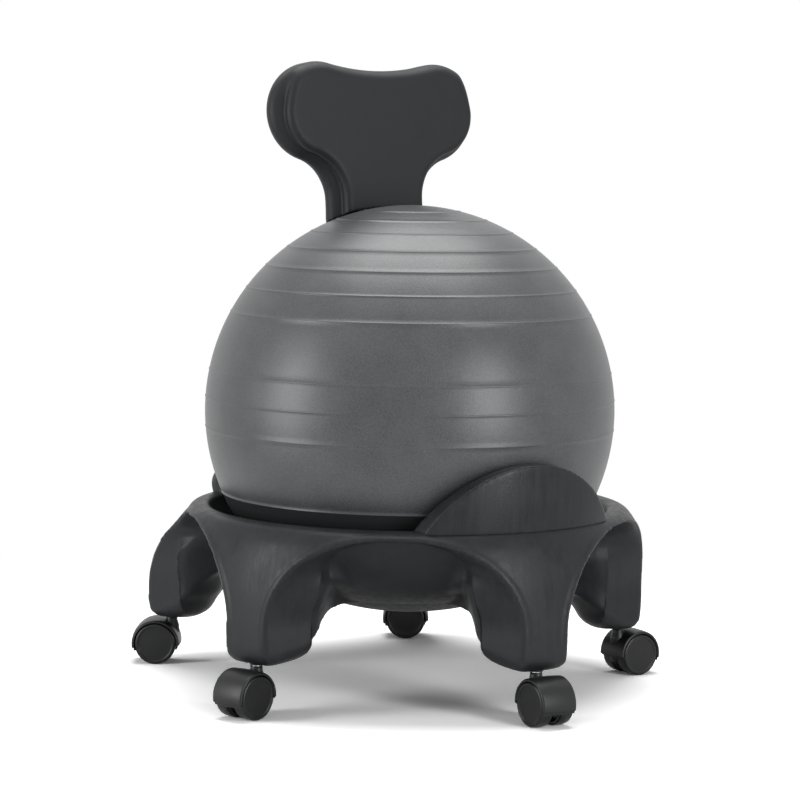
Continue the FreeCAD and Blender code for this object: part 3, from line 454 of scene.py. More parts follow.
def joined(name, pieces):
    """One object out of several that may overlap."""
    work = bmesh.new()
    for piece in pieces:
        mesh = piece.data.copy()
        mesh.transform(piece.matrix_world)
        work.from_mesh(mesh)
        bpy.data.meshes.remove(mesh)
    mesh = bpy.data.meshes.new(name)
    work.to_mesh(mesh)
    work.free()
    for piece in pieces:
        bpy.data.objects.remove(piece)
    return new_object(name, mesh)


def add_softening(piece, passes):
    """A modifier that rounds a piece a little more with each pass."""
    soften = piece.modifiers.new("soften", "SMOOTH")
    soften.factor = 0.5
    soften.iterations = passes
    return soften


def moulded_skin(piece, step_mm, passes):
    """Melt overlapping solids into one skin with soft edges, as a blown moulding has."""
    melt = piece.modifiers.new("skin", "REMESH")
    melt.mode = "VOXEL"
    melt.voxel_size = step_mm * MM
    melt.use_smooth_shade = True
    add_softening(piece, passes)
    final_mesh(piece)
    for face in piece.data.polygons:
        face.use_smooth = True


def soften_line(piece, y, z, spread, passes):
    """Round a piece more strongly near a line across the chair at a place in its side view."""
    points, _ = mesh_points(piece)
    weights = 1 - smooth_step(spread * 0.3, spread, np.hypot(points[:, 1] - y, points[:, 2] - z))
    group = piece.vertex_groups.new(name="joint")
    for index in np.flatnonzero(weights > 0.01):
        group.add([int(index)], float(weights[index]), "REPLACE")
    add_softening(piece, passes).vertex_group = group.name
    final_mesh(piece)
    piece.vertex_groups.clear()


def mesh_points(piece):
    """The points of a mesh in millimetres and their normals, as arrays."""
    arrays = []
    for kind in ("co", "normal"):
        values = np.empty(len(piece.data.vertices) * 3)
        piece.data.vertices.foreach_get(kind, values)
        arrays.append(values.reshape(-1, 3))
    return arrays[0] / MM, arrays[1]


def move_points(piece, points):
    """Put the points of a mesh where an array in millimetres says."""
    piece.data.vertices.foreach_set("co", (points * MM).ravel())
    piece.data.update()


def coat(piece, material):
    """Give a piece its one material."""
    piece.data.materials.clear()
    piece.data.materials.append(material)


def finish_piece(piece, material, body, node):
    """Give a piece its material and its body, and hide the node that it stands for."""
    coat(piece, material)
    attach(piece, body)
    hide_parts(node)


# The base. Its bowl is a dish with a side that rises to the rim, and everything on the rim
# stands on the seam.

DISH_RADIUS = 344
DISH_WIDTH = 140
DISH_LOW = 102
DISH_WALL = 6
SIDE_MIDDLE = (206, 180)
UNDERSIDE_MIDDLE = (216, 161)
RIM_TOP = 232
RIM_INNER = 251
RIM_OUTER = 275
RIM_ROUND = 7
SEAM = 227
# Front view of a leg: its foot, and the arches that rise from it to both sides.
FOOT_LOW = 62.5
FOOT_HALF = 31.5
FOOT_ROUND = 16
ARCH_START = 110
ARCH_TOP = 222
SPREAD_HALF = 160
# Side view of a foot: how far its heel lies behind its outer face, and its round corners.
HEEL_REACH = 80
TOE_ROUND = 21
HEEL_ROUND = 33.6
# Plan view of a foot: it widens by a share from its outer face back to the corners of its
# heel, and less the higher it is. The heel bulges, and its corners are drawn up.
FLARE_SHARE = 0.75
FLARE_FADE = (130, 205)
HEEL_CORNER = 57
HEEL_BULGE = 20
HEEL_RISE = 13
# These forms fade out over distances behind the heel, beside the foot and above the sole.
ROOT_FADE = (45, 5)
BESIDE_FADE = (12, 50)
SOLE_FADE = (8, 45)
# The border along the arches fades out above the sole, inside the rim's outer edge, and
# where a face turns away from the outside.
BEAD_LOW_FADE = (14, 50)
BEAD_RIM_FADE = (6, 2)
BEAD_FACING = (0.35, 0.8)
# The outer line of a leg from the rim to its foot and the line under it from the heel to
# the bowl, as (radius, height).
LEG_LINES = {
    "front": ([(271, 231.5), (277.5, 229), (283.5, 222.5), (290, 212.7), (295, 201),
               (298.5, 190), (301, 180), (303.5, 165), (305.5, 147), (306.8, 120), (307.3, 98)],
              [(219.3, 98), (208, 112), (190, 120), (164, 124), (140, 122)]),
    "rear": ([(271, 231.5), (277, 228.5), (285, 217), (296, 204), (310.5, 189.5), (324.5, 176),
              (342.5, 150), (352, 124.5), (354, 106), (354.5, 90)],
             [(266.5, 98), (259, 115), (246, 130), (228, 142), (203, 149)]),
}
# Where a leg ends inside the bowl, and how far to each side it is turned before it is cut.
LEG_ROOT = (211, 170.5)
LEG_HALF_ANGLE = 50


def dish_height(radius, drop=0.0):
    """Height of the dish, or of a surface a drop below it."""
    size = DISH_RADIUS + drop
    return DISH_LOW - drop + size - math.sqrt(size ** 2 - radius ** 2)


def bowl_shape():
    """The bowl with its rolled rim, as a closed turned wall."""
    steps = 14
    widths = [DISH_WIDTH * i / steps for i in range(steps)]
    inner = [(r, dish_height(r)) for r in widths]
    inner += arc_through((DISH_WIDTH, dish_height(DISH_WIDTH)), SIDE_MIDDLE,
                         (RIM_INNER, RIM_TOP - RIM_ROUND), 16)[:-1]
    rim = turn_corner((RIM_INNER + RIM_ROUND, RIM_TOP - RIM_ROUND), RIM_ROUND, 180, 90)
    rim += turn_corner((RIM_OUTER - RIM_ROUND, RIM_TOP - RIM_ROUND), RIM_ROUND, 90, 0)
    outer = [(RIM_OUTER, ARCH_TOP)]
    outer += arc_through((RIM_INNER + RIM_ROUND, ARCH_TOP - 2), UNDERSIDE_MIDDLE,
                         (DISH_WIDTH, dish_height(DISH_WIDTH, DISH_WALL)), 16)
    outer += [(r, dish_height(r, DISH_WALL)) for r in reversed(widths)]
    return turned_shape(inner + rim + outer, 256)


def leg_side_view(outer, under):
    """Closed side view of a leg, as (radius, height)."""
    reach = outer[-1][0]
    heel = reach - HEEL_REACH + HEEL_ROUND
    loop = [tuple(point) for point in smooth_line(outer, 4)]
    loop += turn_corner((reach - TOE_ROUND, FOOT_LOW + TOE_ROUND), TOE_ROUND, 0, -90, 8)
    loop += turn_corner((heel, FOOT_LOW + HEEL_ROUND), HEEL_ROUND, -90, -158, 8)
    loop += [tuple(point) for point in smooth_line(under, 4)]
    return loop + [LEG_ROOT, (RIM_INNER + RIM_ROUND, RIM_TOP - 0.5)]


def leg_front_view():
    """Closed front view of a leg, as (across, height)."""
    right = turn_corner((FOOT_HALF - FOOT_ROUND, FOOT_LOW + FOOT_ROUND), FOOT_ROUND, -90, 0, 8)
    for i in range(33):
        a = math.pi - math.pi / 2 * i / 32
        right.append((SPREAD_HALF + (SPREAD_HALF - FOOT_HALF) * math.cos(a),
                      ARCH_START + (ARCH_TOP - ARCH_START) * math.sin(a)))
    right += [(SPREAD_HALF + 12, ARCH_TOP), (SPREAD_HALF + 12, RIM_TOP)]
    return right + [(-x, z) for x, z in reversed(right)]


def leg_solid(kind):
    """One leg over the front of the chair."""
    view = leg_side_view(*LEG_LINES[kind])
    leg = make_object("leg_" + kind, sector_shape(view, LEG_HALF_ANGLE, 96))
    front = make_object("leg_outline", prism_shape(leg_front_view(), *CUT_FRONT))
    return shared_part(leg, front)


def arch_distance(across, height):
    """Distance of points of a leg's outer face from the edge of its arches."""
    wide = SPREAD_HALF - FOOT_HALF
    tall = ARCH_TOP - ARCH_START
    to_centre = (SPREAD_HALF - np.abs(across)) / wide
    rise = np.maximum(height - ARCH_START, 0.0) / tall
    size = np.hypot(to_centre, rise)
    on_arch = (size - 1) * np.where(rise > to_centre, tall, wide)
    return np.where(np.abs(across) > SPREAD_HALF, height - ARCH_TOP,
                    np.where(height > ARCH_START, on_arch, FOOT_HALF - np.abs(across)))


def nearest_leg(points):
    """For points: the direction of the nearest leg, the way along it and across it, and
    whether it is one of the long rear ones."""
    turns = np.array([math.radians(angle) for angle in LEG_ANGLES.values()])
    sines = np.array([math.sin(a) for a in turns])
    cosines = np.array([math.cos(a) for a in turns])
    x, y = points[:, :1], points[:, 1:2]
    along = x * sines - y * cosines
    across = x * cosines + y * sines
    leg = along.argmax(axis=1)
    row = np.arange(len(points))
    long = np.array([place.startswith("rear") for place in LEG_ANGLES])
    return turns[leg], along[row, leg], across[row, leg], long[leg]


def outer_radius(kind, heights):
    """Radius of a leg's outer line at some heights."""
    line = LEG_LINES[kind][0][::-1]
    return np.interp(heights, [z for _, z in line], [r for r, _ in line])


def flare_feet(piece):
    """Widen each foot from its outer face to the corners of its heel, with the heel itself
    bulging inward between them and the corners of the sole drawn up."""
    points, _ = mesh_points(piece)
    turn, along, across, long = nearest_leg(points)
    height = points[:, 2]
    face = np.where(long, outer_radius("rear", height), outer_radius("front", height))
    reach = np.where(long, LEG_LINES["rear"][0][-1][0], LEG_LINES["front"][0][-1][0])
    behind = np.clip((face - along) / HEEL_CORNER, 0.0, 1.0)
    low = 1 - smooth_step(*FLARE_FADE, height)
    root = reach - HEEL_REACH
    near = smooth_step(root - ROOT_FADE[0], root - ROOT_FADE[1], along) \
        * (1 - smooth_step(FOOT_HALF + BESIDE_FADE[0], FOOT_HALF + BESIDE_FADE[1],
                           np.abs(across)))
    wider = across * FLARE_SHARE * behind * low * near
    heel = 1 - smooth_step(reach - HEEL_REACH, reach - HEEL_CORNER, along)
    side = np.clip(np.abs(across) / FOOT_HALF, 0.0, 1.0) ** 2
    out = HEEL_BULGE * side * heel * low * near
    sole = 1 - smooth_step(FOOT_LOW + SOLE_FADE[0], FOOT_LOW + SOLE_FADE[1], height)
    points[:, 0] += wider * np.cos(turn) + out * np.sin(turn)
    points[:, 1] += wider * np.sin(turn) - out * np.cos(turn)
    points[:, 2] += HEEL_RISE * side * behind ** 2 * sole * near
    move_points(piece, points)


def raise_bead(piece, height, width):
    """Raise a soft border on the outer faces along the arches."""
    points, normals = mesh_points(piece)
    size = np.hypot(points[:, 0], points[:, 1])
    radial = points[:, :2] / np.maximum(size, 1)[:, None]
    facing = smooth_step(*BEAD_FACING, (normals[:, :2] * radial).sum(axis=1))
    _, _, across, _ = nearest_leg(points)
    edge = arch_distance(across, points[:, 2])
    lift = 1 - smooth_step(width * 0.7, width * 1.3, edge)
    low_fade = smooth_step(FOOT_LOW + BEAD_LOW_FADE[0], FOOT_LOW + BEAD_LOW_FADE[1],
                           points[:, 2])
    outside = smooth_step(RIM_OUTER - BEAD_RIM_FADE[0], RIM_OUTER - BEAD_RIM_FADE[1], size)
    points[:, :2] += radial * (height * lift * facing * low_fade * outside)[:, None]
    move_points(piece, points)


def plastic(name, roughness, streaks):
    """The charcoal plastic of the chair, as smooth and streaky as a piece asks."""
    colour = opaque(bpy.context.scene.chair_base.plastic_colour)
    return moulded_polyethylene(name, colour, roughness, streaks)


class BALLCHAIR_OT_base(bpy.types.Operator):
    """Build the blow-moulded base"""
    bl_idname = "ball_chair.base"
    bl_label = "Base"

    def execute(self, context):
        settings = context.scene.chair_base
        parts = [make_object("bowl", bowl_shape())]
        for kind in LEG_LINES:
            leg = leg_solid(kind)
            for place, angle in LEG_ANGLES.items():
                if place.startswith("rear") == (kind == "rear"):
                    copy = new_object("leg_" + place, leg.data)
                    copy.matrix_world = Matrix.Rotation(math.radians(angle), 4, "Z")
                    parts.append(copy)
            bpy.data.objects.remove(leg)
        context.view_layer.update()
        base = joined("base_skin", parts)
        moulded_skin(base, settings.mesh_step, settings.soft_passes)
        flare_feet(base)
        raise_bead(base, settings.bead_height, settings.bead_width)
        finish_piece(base, plastic("blow_moulded_polyethylene", 0.42, 0.6), "base",
                     "base_shell")
        return {"FINISHED"}


# The front shield: its half width on the seam, its crest, and the radius of its inner and
# outer faces on the seam, midway and at the top.

SHIELD_HALF = 133
SHIELD_CREST = 309.5
SHIELD_HALF_ANGLE = 40
SHIELD_STEP = 1.8
SHIELD_PASSES = 9
SEAM_INNER = 252
SEAM_OUTER = 277.5
SHIELD_INNER = (SEAM_INNER, 258.5, 261)
SHIELD_OUTER = (SEAM_OUTER, 281, 280.5)


class BALLCHAIR_OT_shield(bpy.types.Operator):
    """Build the front shield that stands on the rim"""
    bl_idname = "ball_chair.shield"
    bl_label = "Front shield"

    def execute(self, context):
        top = SHIELD_CREST + 10
        heights = (SEAM, (SEAM + top) / 2, top)
        loop = arc_through(*zip(SHIELD_INNER, heights), 12)
        loop += arc_through(*zip(SHIELD_OUTER[::-1], heights[::-1]), 12)
        shield = make_object("shield_skin", sector_shape(loop, SHIELD_HALF_ANGLE, 96))
        crest = arc_through((-SHIELD_HALF, RIM_TOP), (0, SHIELD_CREST), (SHIELD_HALF, RIM_TOP), 64)
        outline = [(-SHIELD_HALF, SEAM)] + crest + [(SHIELD_HALF, SEAM)]
        front = make_object("shield_outline", prism_shape(outline, *CUT_FRONT))
        shared_part(shield, front)
        moulded_skin(shield, SHIELD_STEP, SHIELD_PASSES)
        finish_piece(shield, plastic("shield_polyethylene", 0.36, 0.6), "base",
                     "front_shield")
        return {"FINISHED"}


# The backrest. Its head leans back about a pivot, and its flat front lies at a distance
# behind the axis. Below the neck's height the head runs straight down into the arm.

HEAD_FRONT = 71
HEAD_LEAN = 5
HEAD_PIVOT = 729.5
HEAD_DEPTH = 47
HEAD_NECK = 618
HEAD_LOW = 558
# The front half and the wider rear half of the head: rounding of the ears, an ear's centre
# across and up, half width of the neck, dip of the top edge.
PANEL_SIZE = np.array([53, 86, 726.5, 58.5, 769.5])
SHELL_SIZE = np.array([63, 88.5, 729.5, 70, 782])
# Roundings of the front half, the rear half and the head's top.
PANEL_ROUND = 8.5
SHELL_ROUND = 13
TOP_ROUND = 16
# The outline turns this far round an ear, and the groove fades out between these turns.
TOP_TURN = 104
LIP_FADE = (12, 58)
# Distance that the head keeps from the ball's centre.
BALL_CLEAR = 262
BACKREST_PASSES = 4
# Where neck and arm meet behind, in side view, and how that place is softened.
NECK_JOINT = (110, 610)
JOINT_SPREAD = 34
JOINT_PASSES = 110


def head_line(size, inset):
    """Closed front view of the head, shrunk by an inset, as (across, height, turn). The turn
    is the direction of the outline, in degrees, as far as it goes round the ear."""
    ear, ear_x, ear_z, half, dip = size
    gap = ear_x - half
    rise = ear_z - HEAD_NECK
    hollow = (gap ** 2 + rise ** 2 - ear ** 2) / (2 * (ear + gap)) + inset
    ear, half, dip = ear - inset, half - inset, dip - inset
    low_turn = math.degrees(math.atan2(HEAD_NECK - ear_z, half + hollow - ear_x))
    right = [(half, HEAD_LOW + (HEAD_NECK - HEAD_LOW) * i / 12, -90) for i in range(12)]
    right += [(x, z, -90) for x, z in turn_corner((half + hollow, HEAD_NECK), hollow, 180,
                                                  180 + low_turn, 24)[:-1]]
    round_ear = turn_corner((ear_x, ear_z), ear, low_turn, TOP_TURN, 60)
    right += [(x, z, low_turn + (TOP_TURN - low_turn) * i / 60)
              for i, (x, z) in enumerate(round_ear)]
    top = right[-1]
    crown = arc_through(top[:2], (0, dip), (-top[0], top[1]), 40)[1:-1]
    left = [(-x, z, turn) for x, z, turn in reversed(right)]
    return right + [(x, z, TOP_TURN) for x, z in crown] + left


def head_rows(groove):
    """Rows from the flat front over the groove to the round rear: share of the way from the
    panel's outline to the shell's, inset and depth, at the sides and then along the top."""
    rear = [(1, SHELL_ROUND - x, HEAD_DEPTH - SHELL_ROUND + y)
            for x, y in turn_corner((0, 0), SHELL_ROUND, 0, 90, 8)]
    rear += [(1, 24, HEAD_DEPTH), (1, 40, HEAD_DEPTH)]
    side = [(0, 30, 0), (0, 14, 0), (0, 10, 0)]
    side += [(0, PANEL_ROUND - x, PANEL_ROUND - y)
             for x, y in turn_corner((0, 0), PANEL_ROUND, 90, 0, 6)]
    side += [(0, 0.25 * groove, 11), (0, 0.7 * groove, 13.5), (0.06, groove, 15.5),
             (0.2, 1.1 * groove, 17), (0.42, 1.1 * groove, 18.6), (0.66, 0.9 * groove, 20.6),
             (0.86, 0.5 * groove, 23.4), (0.97, 0.1 * groove, 27), (1, -0.6, 31)]
    top = [(1, 43, 0), (1, 27, 0), (1, 21, 0)]
    top += [(1, TOP_ROUND - x, TOP_ROUND - y)
            for x, y in turn_corner((0, 0), TOP_ROUND, 90, 0, len(side) - 5)]
    top += [(1, 0, 31)]
    return list(zip(side + rear, top + rear))


def head_rings(groove):
    """Rings of the head. The groove ends low on the ears, and the top is round and plain."""
    lean = math.radians(HEAD_LEAN)
    rings = []
    for (share, inset, depth), (top_share, top_inset, top_depth) in head_rows(groove):
        side = head_line(PANEL_SIZE + (SHELL_SIZE - PANEL_SIZE) * share, inset)
        top = head_line(PANEL_SIZE + (SHELL_SIZE - PANEL_SIZE) * top_share, top_inset)
        ring = []
        for (x, z, turn), (top_x, top_z, _) in zip(side, top):
            plain = float(smooth_step(*LIP_FADE, turn))
            x += (top_x - x) * plain
            z += (top_z - z) * plain - HEAD_PIVOT
            deep = depth + (top_depth - depth) * plain
            ring.append((x, HEAD_FRONT + deep * math.cos(lean) + z * math.sin(lean),
                         HEAD_PIVOT - deep * math.sin(lean) + z * math.cos(lean)))
        rings.append(ring)
    return rings


# Rows of the arm: angle from the ball's top, middle thickness, how strongly the rear side
# bows, share of the way out to the rim, share of the edge rounding.
ARM_ROWS = [
    (17, 16.6, 3.0, 0, 0.25), (24, 17, 3.0, 0, 0.25), (30, 17.3, 2.9, 0, 0.25),
    (36, 18.6, 2.6, 0, 0.3), (43, 21.8, 1.9, 0, 0.55), (52, 25, 1.2, 0, 1),
    (64, 28.8, 1, 0, 1), (76, 32, 1, 0, 1), (88, 32, 1, 0, 1), (98, 32, 1, 0.16, 1),
    (106, 32, 1, 0.62, 1), (113, 32, 1, 0.96, 1), (119, 32, 1, 1, 1), (125, 32, 1, 1, 1),
    (131, 32, 1, 1, 1),
]
ARM_HALF = 57.5
ARM_FRONT_ROUND = 6
ARM_REAR_ROUND = 12
ARM_GAP = 3
ARM_GAP_GROWTH = 2
# The arm flares from its straight part into a foot, below this height over the ball's centre.
ARM_FLARE_START = 30
ARM_FOOT_HALF = 166
ARM_FOOT_HEIGHT = 262


def arm_half_width(angle, size):
    """Half width of the arm at an angle, where it flares into its foot."""
    if angle <= 60:
        return ARM_HALF
    high = BALL_CENTRE + ARM_FLARE_START

    def spare(half):
        share = min(1.0, (half - ARM_HALF) / (ARM_FOOT_HALF - ARM_HALF))
        flare = RIM_TOP + (ARM_FOOT_HEIGHT - RIM_TOP) * math.sqrt(1 - share ** 4) \
            + (high - ARM_FOOT_HEIGHT) * (1 - share) ** 3
        reach = math.sqrt(size ** 2 - half ** 2)
        return BALL_CENTRE + reach * math.cos(math.radians(angle)) - flare

    narrow, wide = ARM_HALF, ARM_FOOT_HALF
    if spare(narrow) >= 0:
        return narrow
    for _ in range(30):
        half = (narrow + wide) / 2
        if spare(half) < 0:
            narrow = half
        else:
            wide = half
    return narrow


def arm_ring(angle, inner, outer, half, bow, rounding):
    """A closed section of the arm across the ball's meridian."""
    front_soft = ARM_FRONT_ROUND * rounding
    rear_soft = ARM_REAR_ROUND * rounding

    def height(size, strength, across):
        return size - strength * (size - math.sqrt(size ** 2 - across ** 2))

    def face(size, strength, soft, side):
        across = [half * (2 * i / 24 - 1) * (half - soft) / half for i in range(25)]
        return [(side * x, height(size, strength, x)) for x in across]

    low_edge = height(inner, 1, half)
    high_edge = height(outer, bow, half)
    corner = turn_corner((half - front_soft, low_edge + front_soft), front_soft, -90, 0, 4)
    corner += turn_corner((half - rear_soft, high_edge - rear_soft), rear_soft, 0, 90, 6)
    section = face(inner, 1, front_soft, 1) + corner + face(outer, bow, rear_soft, -1)
    section += [(-x, r) for x, r in reversed(corner)]
    a = math.radians(angle)
    return [(x, r * math.sin(a), BALL_CENTRE + r * math.cos(a)) for x, r in section]


def arm_rings():
    """Rings of the arm from inside the neck down to below the seam. Its gap to the ball is
    set at 36 degrees from the top and grows from there by so much in 30 degrees."""
    drop = BALL_CENTRE - SEAM
    seam_inner = math.hypot(SEAM_INNER, drop)
    seam_outer = math.hypot(SEAM_OUTER, drop)
    rings = []
    for angle, thick, bow, lift, rounding in smooth_line(ARM_ROWS, 6):
        spread = (angle - 36) / 30
        inner = BALL_RADIUS + ARM_GAP + ARM_GAP_GROWTH * spread
        outer = inner + thick
        inner += (seam_inner - inner) * lift
        outer += (seam_outer - outer) * lift
        half = arm_half_width(angle, outer)
        rings.append(arm_ring(angle, inner, outer, half, bow, rounding))
    return rings


class BALLCHAIR_OT_backrest(bpy.types.Operator):
    """Build the backrest that stands on the rim behind the ball"""
    bl_idname = "ball_chair.backrest"
    bl_label = "Backrest"

    def execute(self, context):
        settings = context.scene.chair_base
        head = make_object("head", lofted_shape(head_rings(settings.head_groove)))
        around_ball = turn_corner((0, BALL_CENTRE), BALL_CLEAR, -90, 90, 60)
        keep_clear = make_object("keep_clear", turned_shape(around_ball, 128))
        shared_part(head, keep_clear, "DIFFERENCE")
        arm = make_object("arm", lofted_shape(arm_rings()))
        block = [(-400, SEAM), (400, SEAM), (400, 700), (-400, 700)]
        above_seam = make_object("above_seam", prism_shape(block, *CUT_REAR))
        shared_part(arm, above_seam)
        backrest = joined("backrest_skin", [head, arm])
        moulded_skin(backrest, settings.fine_step, BACKREST_PASSES)
        soften_line(backrest, *NECK_JOINT, JOINT_SPREAD, JOINT_PASSES)
        finish_piece(backrest, plastic("backrest_polyethylene", 0.5, 0.15), "base",
                     "backrest")
        return {"FINISHED"}


# The ball. Latitudes of its ribs and of the top of its smooth band, and its gap to the dish.

RIB_LATITUDES = [76.5, 68.7, 60.7, 52.8, 44.9, 36.7, 28.6, 11.45, 3.8, -4.55]
BAND_LATITUDE = -23.6
BAND_SOFT = 0.6
SEAT_GAP = 0.3
# Section of a rib: shares of its width and of its height.
RIB_SECTION = [(-0.5, 0.0), (-0.3, 0.55), (-0.12, 0.95), (0.12, 0.95), (0.3, 0.55), (0.5, 0.0)]


def ball_profile(rib_height, rib_width):
    """Half section of the ball from its top to its flattened bottom."""
    rows = [(lat, 0.0) for lat in np.arange(88.5, -90, -1.5)
            if all(abs(lat - rib) > 0.6 for rib in RIB_LATITUDES + [BAND_LATITUDE])]
    spread = math.degrees(rib_width / BALL_RADIUS)
    for rib in RIB_LATITUDES:
        rows += [(rib + share * spread, lift * rib_height) for share, lift in RIB_SECTION]
    # The smooth band starts at a fine step.
    rows += [(BAND_LATITUDE + 0.12, 0.0), (BAND_LATITUDE + 0.04, 0.5),
             (BAND_LATITUDE - 0.1, 0.55), (BAND_LATITUDE - 0.5, 0.1)]
    rows.sort(key=lambda row: -row[0])
    profile = [(0.0, BALL_CENTRE + BALL_RADIUS)]
    for lat, lift in rows:
        a = math.radians(lat)
        radius = (BALL_RADIUS + lift) * math.cos(a)
        height = BALL_CENTRE + (BALL_RADIUS + lift) * math.sin(a)
        if radius < DISH_WIDTH and height < BALL_CENTRE:
            height = max(height, dish_height(radius) + SEAT_GAP)
        profile.append((radius, height))
    profile.append((0.0, DISH_LOW + SEAT_GAP))
    return profile


class BALLCHAIR_OT_ball(bpy.types.Operator):
    """Build the ribbed ball"""
    bl_idname = "ball_chair.ball"
    bl_label = "Ball"

    def execute(self, context):
        settings = context.scene.chair_ball
        # Top of the smooth band, below which the colour is darkened as painted shade.
        band = BALL_CENTRE + BALL_RADIUS * math.sin(math.radians(BAND_LATITUDE))
        vinyl = moulded_vinyl("grained_vinyl", opaque(settings.vinyl_colour), band, BAND_SOFT)
        profile = ball_profile(settings.rib_height, settings.rib_width)
        ball = make_object("ball_skin", turned_shape(profile, 224))
        finish_piece(ball, vinyl, "ball", "ball")
        return {"FINISHED"}


# The casters. Each is drawn on its own stem axis with its wheels toward -Y. A wheel's near
# and far faces are distances from the middle, and its pocket is let in round the hub.

CASTER_TRAIL = 20
WHEEL_RADIUS = 27
WHEEL_NEAR = 6.5
WHEEL_FAR = 24
HUB_RADIUS = 8
POCKET_RADIUS = 23
POCKET_DEPTH = 7
# The disc on a wheel's outer face: radius, and how deep it is let in.
DISC_ROWS = [(22.8, 0), (22.4, 0.2), (22.0, 0.9), (21.4, 1.0), (14, 0.6), (6, 0.35), (0, 0.3)]
# The hood round both wheels, the heights of its two ends and of the notch in the long one.
HOOD_RADIUS = 31
HOOD_INNER = 28
HOOD_ROUND = 2.6
HOOD_SHORT_END = 23.5
HOOD_LONG_END = 17
HOOD_NOTCH = 21
HOOD_STEP = 1.6
# The web between the wheels, and how far under the axle it is cut flat.
WEB_HALF = 6
WEB_DROP = 10
NECK_TOP = 61
STEM_HOLE = 5.6


def along_axle(shape):
    """A shape turned about Z, laid along the caster's axle with its Z toward +X."""
    points, faces = shape
    return [(z, -CASTER_TRAIL + y, WHEEL_RADIUS - x) for x, y, z in points], faces


def wheel_shape():
    """A wheel with a soft tread and a let-in disc on its outer side."""
    pocket = WHEEL_NEAR + POCKET_DEPTH
    profile = [(0, WHEEL_NEAR + 1), (4, WHEEL_NEAR), (HUB_RADIUS, WHEEL_NEAR),
               (HUB_RADIUS, pocket), (POCKET_RADIUS, pocket), (POCKET_RADIUS, WHEEL_NEAR)]
    profile += turn_corner((WHEEL_RADIUS - 2, WHEEL_NEAR + 2), 2, -90, 0, 4)
    profile += turn_corner((WHEEL_RADIUS - 3, WHEEL_FAR - 3), 3, 0, 90, 5)
    profile += [(radius, WHEEL_FAR - depth) for radius, depth in DISC_ROWS]
    return along_axle(turned_shape(profile, 96))


def hood_section(outer, crown):
    """Closed section of the hood's wall, as (radius, along the axle)."""
    edge = WHEEL_FAR
    outside = [(outer + crown * (1 - (x / edge) ** 2), x)
               for x in np.linspace(-edge + 3.2, edge - 3.2, 13)]
    low = outside[0][0] - HOOD_ROUND
    left = []
    for angle in (0, 20, 40, 60, 78):
        a = math.radians(angle)
        left.append((low + HOOD_ROUND * math.sin(a),
                     -edge + HOOD_ROUND - HOOD_ROUND * math.cos(a)))
    right = [(r, -x) for r, x in reversed(left)]
    inside = [(HOOD_INNER, edge), (HOOD_INNER, -edge)]
    return left + outside + right + inside


def hood_shape(crown):
    """The hood as a bent wall from its short end by the neck over to its long end. Both ends
    are a small step lower than the rest."""
    short, long, notch = (math.degrees(math.acos((end - WHEEL_RADIUS) / HOOD_RADIUS))
                          for end in (HOOD_SHORT_END, HOOD_LONG_END, HOOD_NOTCH))
    turns = [(a, 0.0) for a in np.linspace(-long, -notch, 4)]
    turns += [(a, 1.0) for a in np.linspace(-notch + 0.2, short - 3, 44)]
    turns += [(short - 2.8, 0.0), (short, 0.0)]
    rings = []
    for turn, full in turns:
        a = math.radians(turn)
        section = hood_section(HOOD_RADIUS - HOOD_STEP * (1 - full), crown * full)
        rings.append([(x, -CASTER_TRAIL + r * math.sin(a), WHEEL_RADIUS + r * math.cos(a))
                      for r, x in section])
    return lofted_shape(rings)


def web_shape():
    """The web between the wheels, cut flat below."""
    low = math.degrees(math.acos(-WEB_DROP / HOOD_INNER))
    outline = turn_corner((0, 0), HOOD_INNER + 1, 90 - low, 90 + low, 40)
    points, faces = prism_shape(outline, -WEB_HALF, WEB_HALF)
    return [(y, -CASTER_TRAIL + x, WHEEL_RADIUS + z) for x, y, z in points], faces


def neck_shape():
    """The neck round the stem, flared a little into the hood."""
    profile = [(0, 40), (10.5, 40), (9.6, 50), (8.2, 54), (7.6, 56.5), (7.5, NECK_TOP - 0.8),
               (6.9, NECK_TOP), (STEM_HOLE, NECK_TOP), (STEM_HOLE, NECK_TOP - 2),
               (0, NECK_TOP - 2)]
    return turned_shape(profile, 48)


def caster_matrix(place):
    """From a caster's own frame to its place under the chair, in millimetres."""
    low, high = node_box(place + "_caster_stem")
    middle = (low + high) / 2
    turn = Matrix.Rotation(math.radians(CASTER_TRAILS[place]), 4, "Z")
    return Matrix.Translation((middle.x, middle.y, 0)) @ turn


def set_down(name, shape, matrix):
    """An object from a shape moved to its place."""
    points, faces = shape
    return make_object(name, ([tuple(matrix @ Vector(p)) for p in points], faces))


class BALLCHAIR_OT_casters(bpy.types.Operator):
    """Build the wheels and housings of the five casters"""
    bl_idname = "ball_chair.casters"
    bl_label = "Casters"

    def execute(self, context):
        settings = context.scene.chair_casters
        colour = opaque(settings.nylon_colour)
        hood_nylon = moulded_nylon("hood_nylon", colour, 0.4)
        wheel_nylon = moulded_nylon("wheel_nylon", shade(colour, 0.8), 0.34)
        mirror = Matrix.Scale(-1, 4, (1, 0, 0))
        for place in LEG_ANGLES:
            matrix = caster_matrix(place)
            parts = [set_down("hood", hood_shape(settings.hood_crown), matrix),
                     set_down("web", web_shape(), matrix),
                     set_down("neck", neck_shape(), matrix)]
            housing = joined(place + "_housing_skin", parts)
            finish_piece(housing, hood_nylon, place + "_swivel",
                         place + "_caster_housing")
            for side, flip in (("right", Matrix.Identity(4)), ("left", mirror)):
                name = f"{place}_wheel_{side}"
                wheel = set_down(name + "_skin", wheel_shape(), matrix @ flip)
                finish_piece(wheel, wheel_nylon, name + "_body", name)
        return {"FINISHED"}


# The pieces that are shown as they come.

STEEL_WORDS = ("stem", "ring", "axle", "bolts")


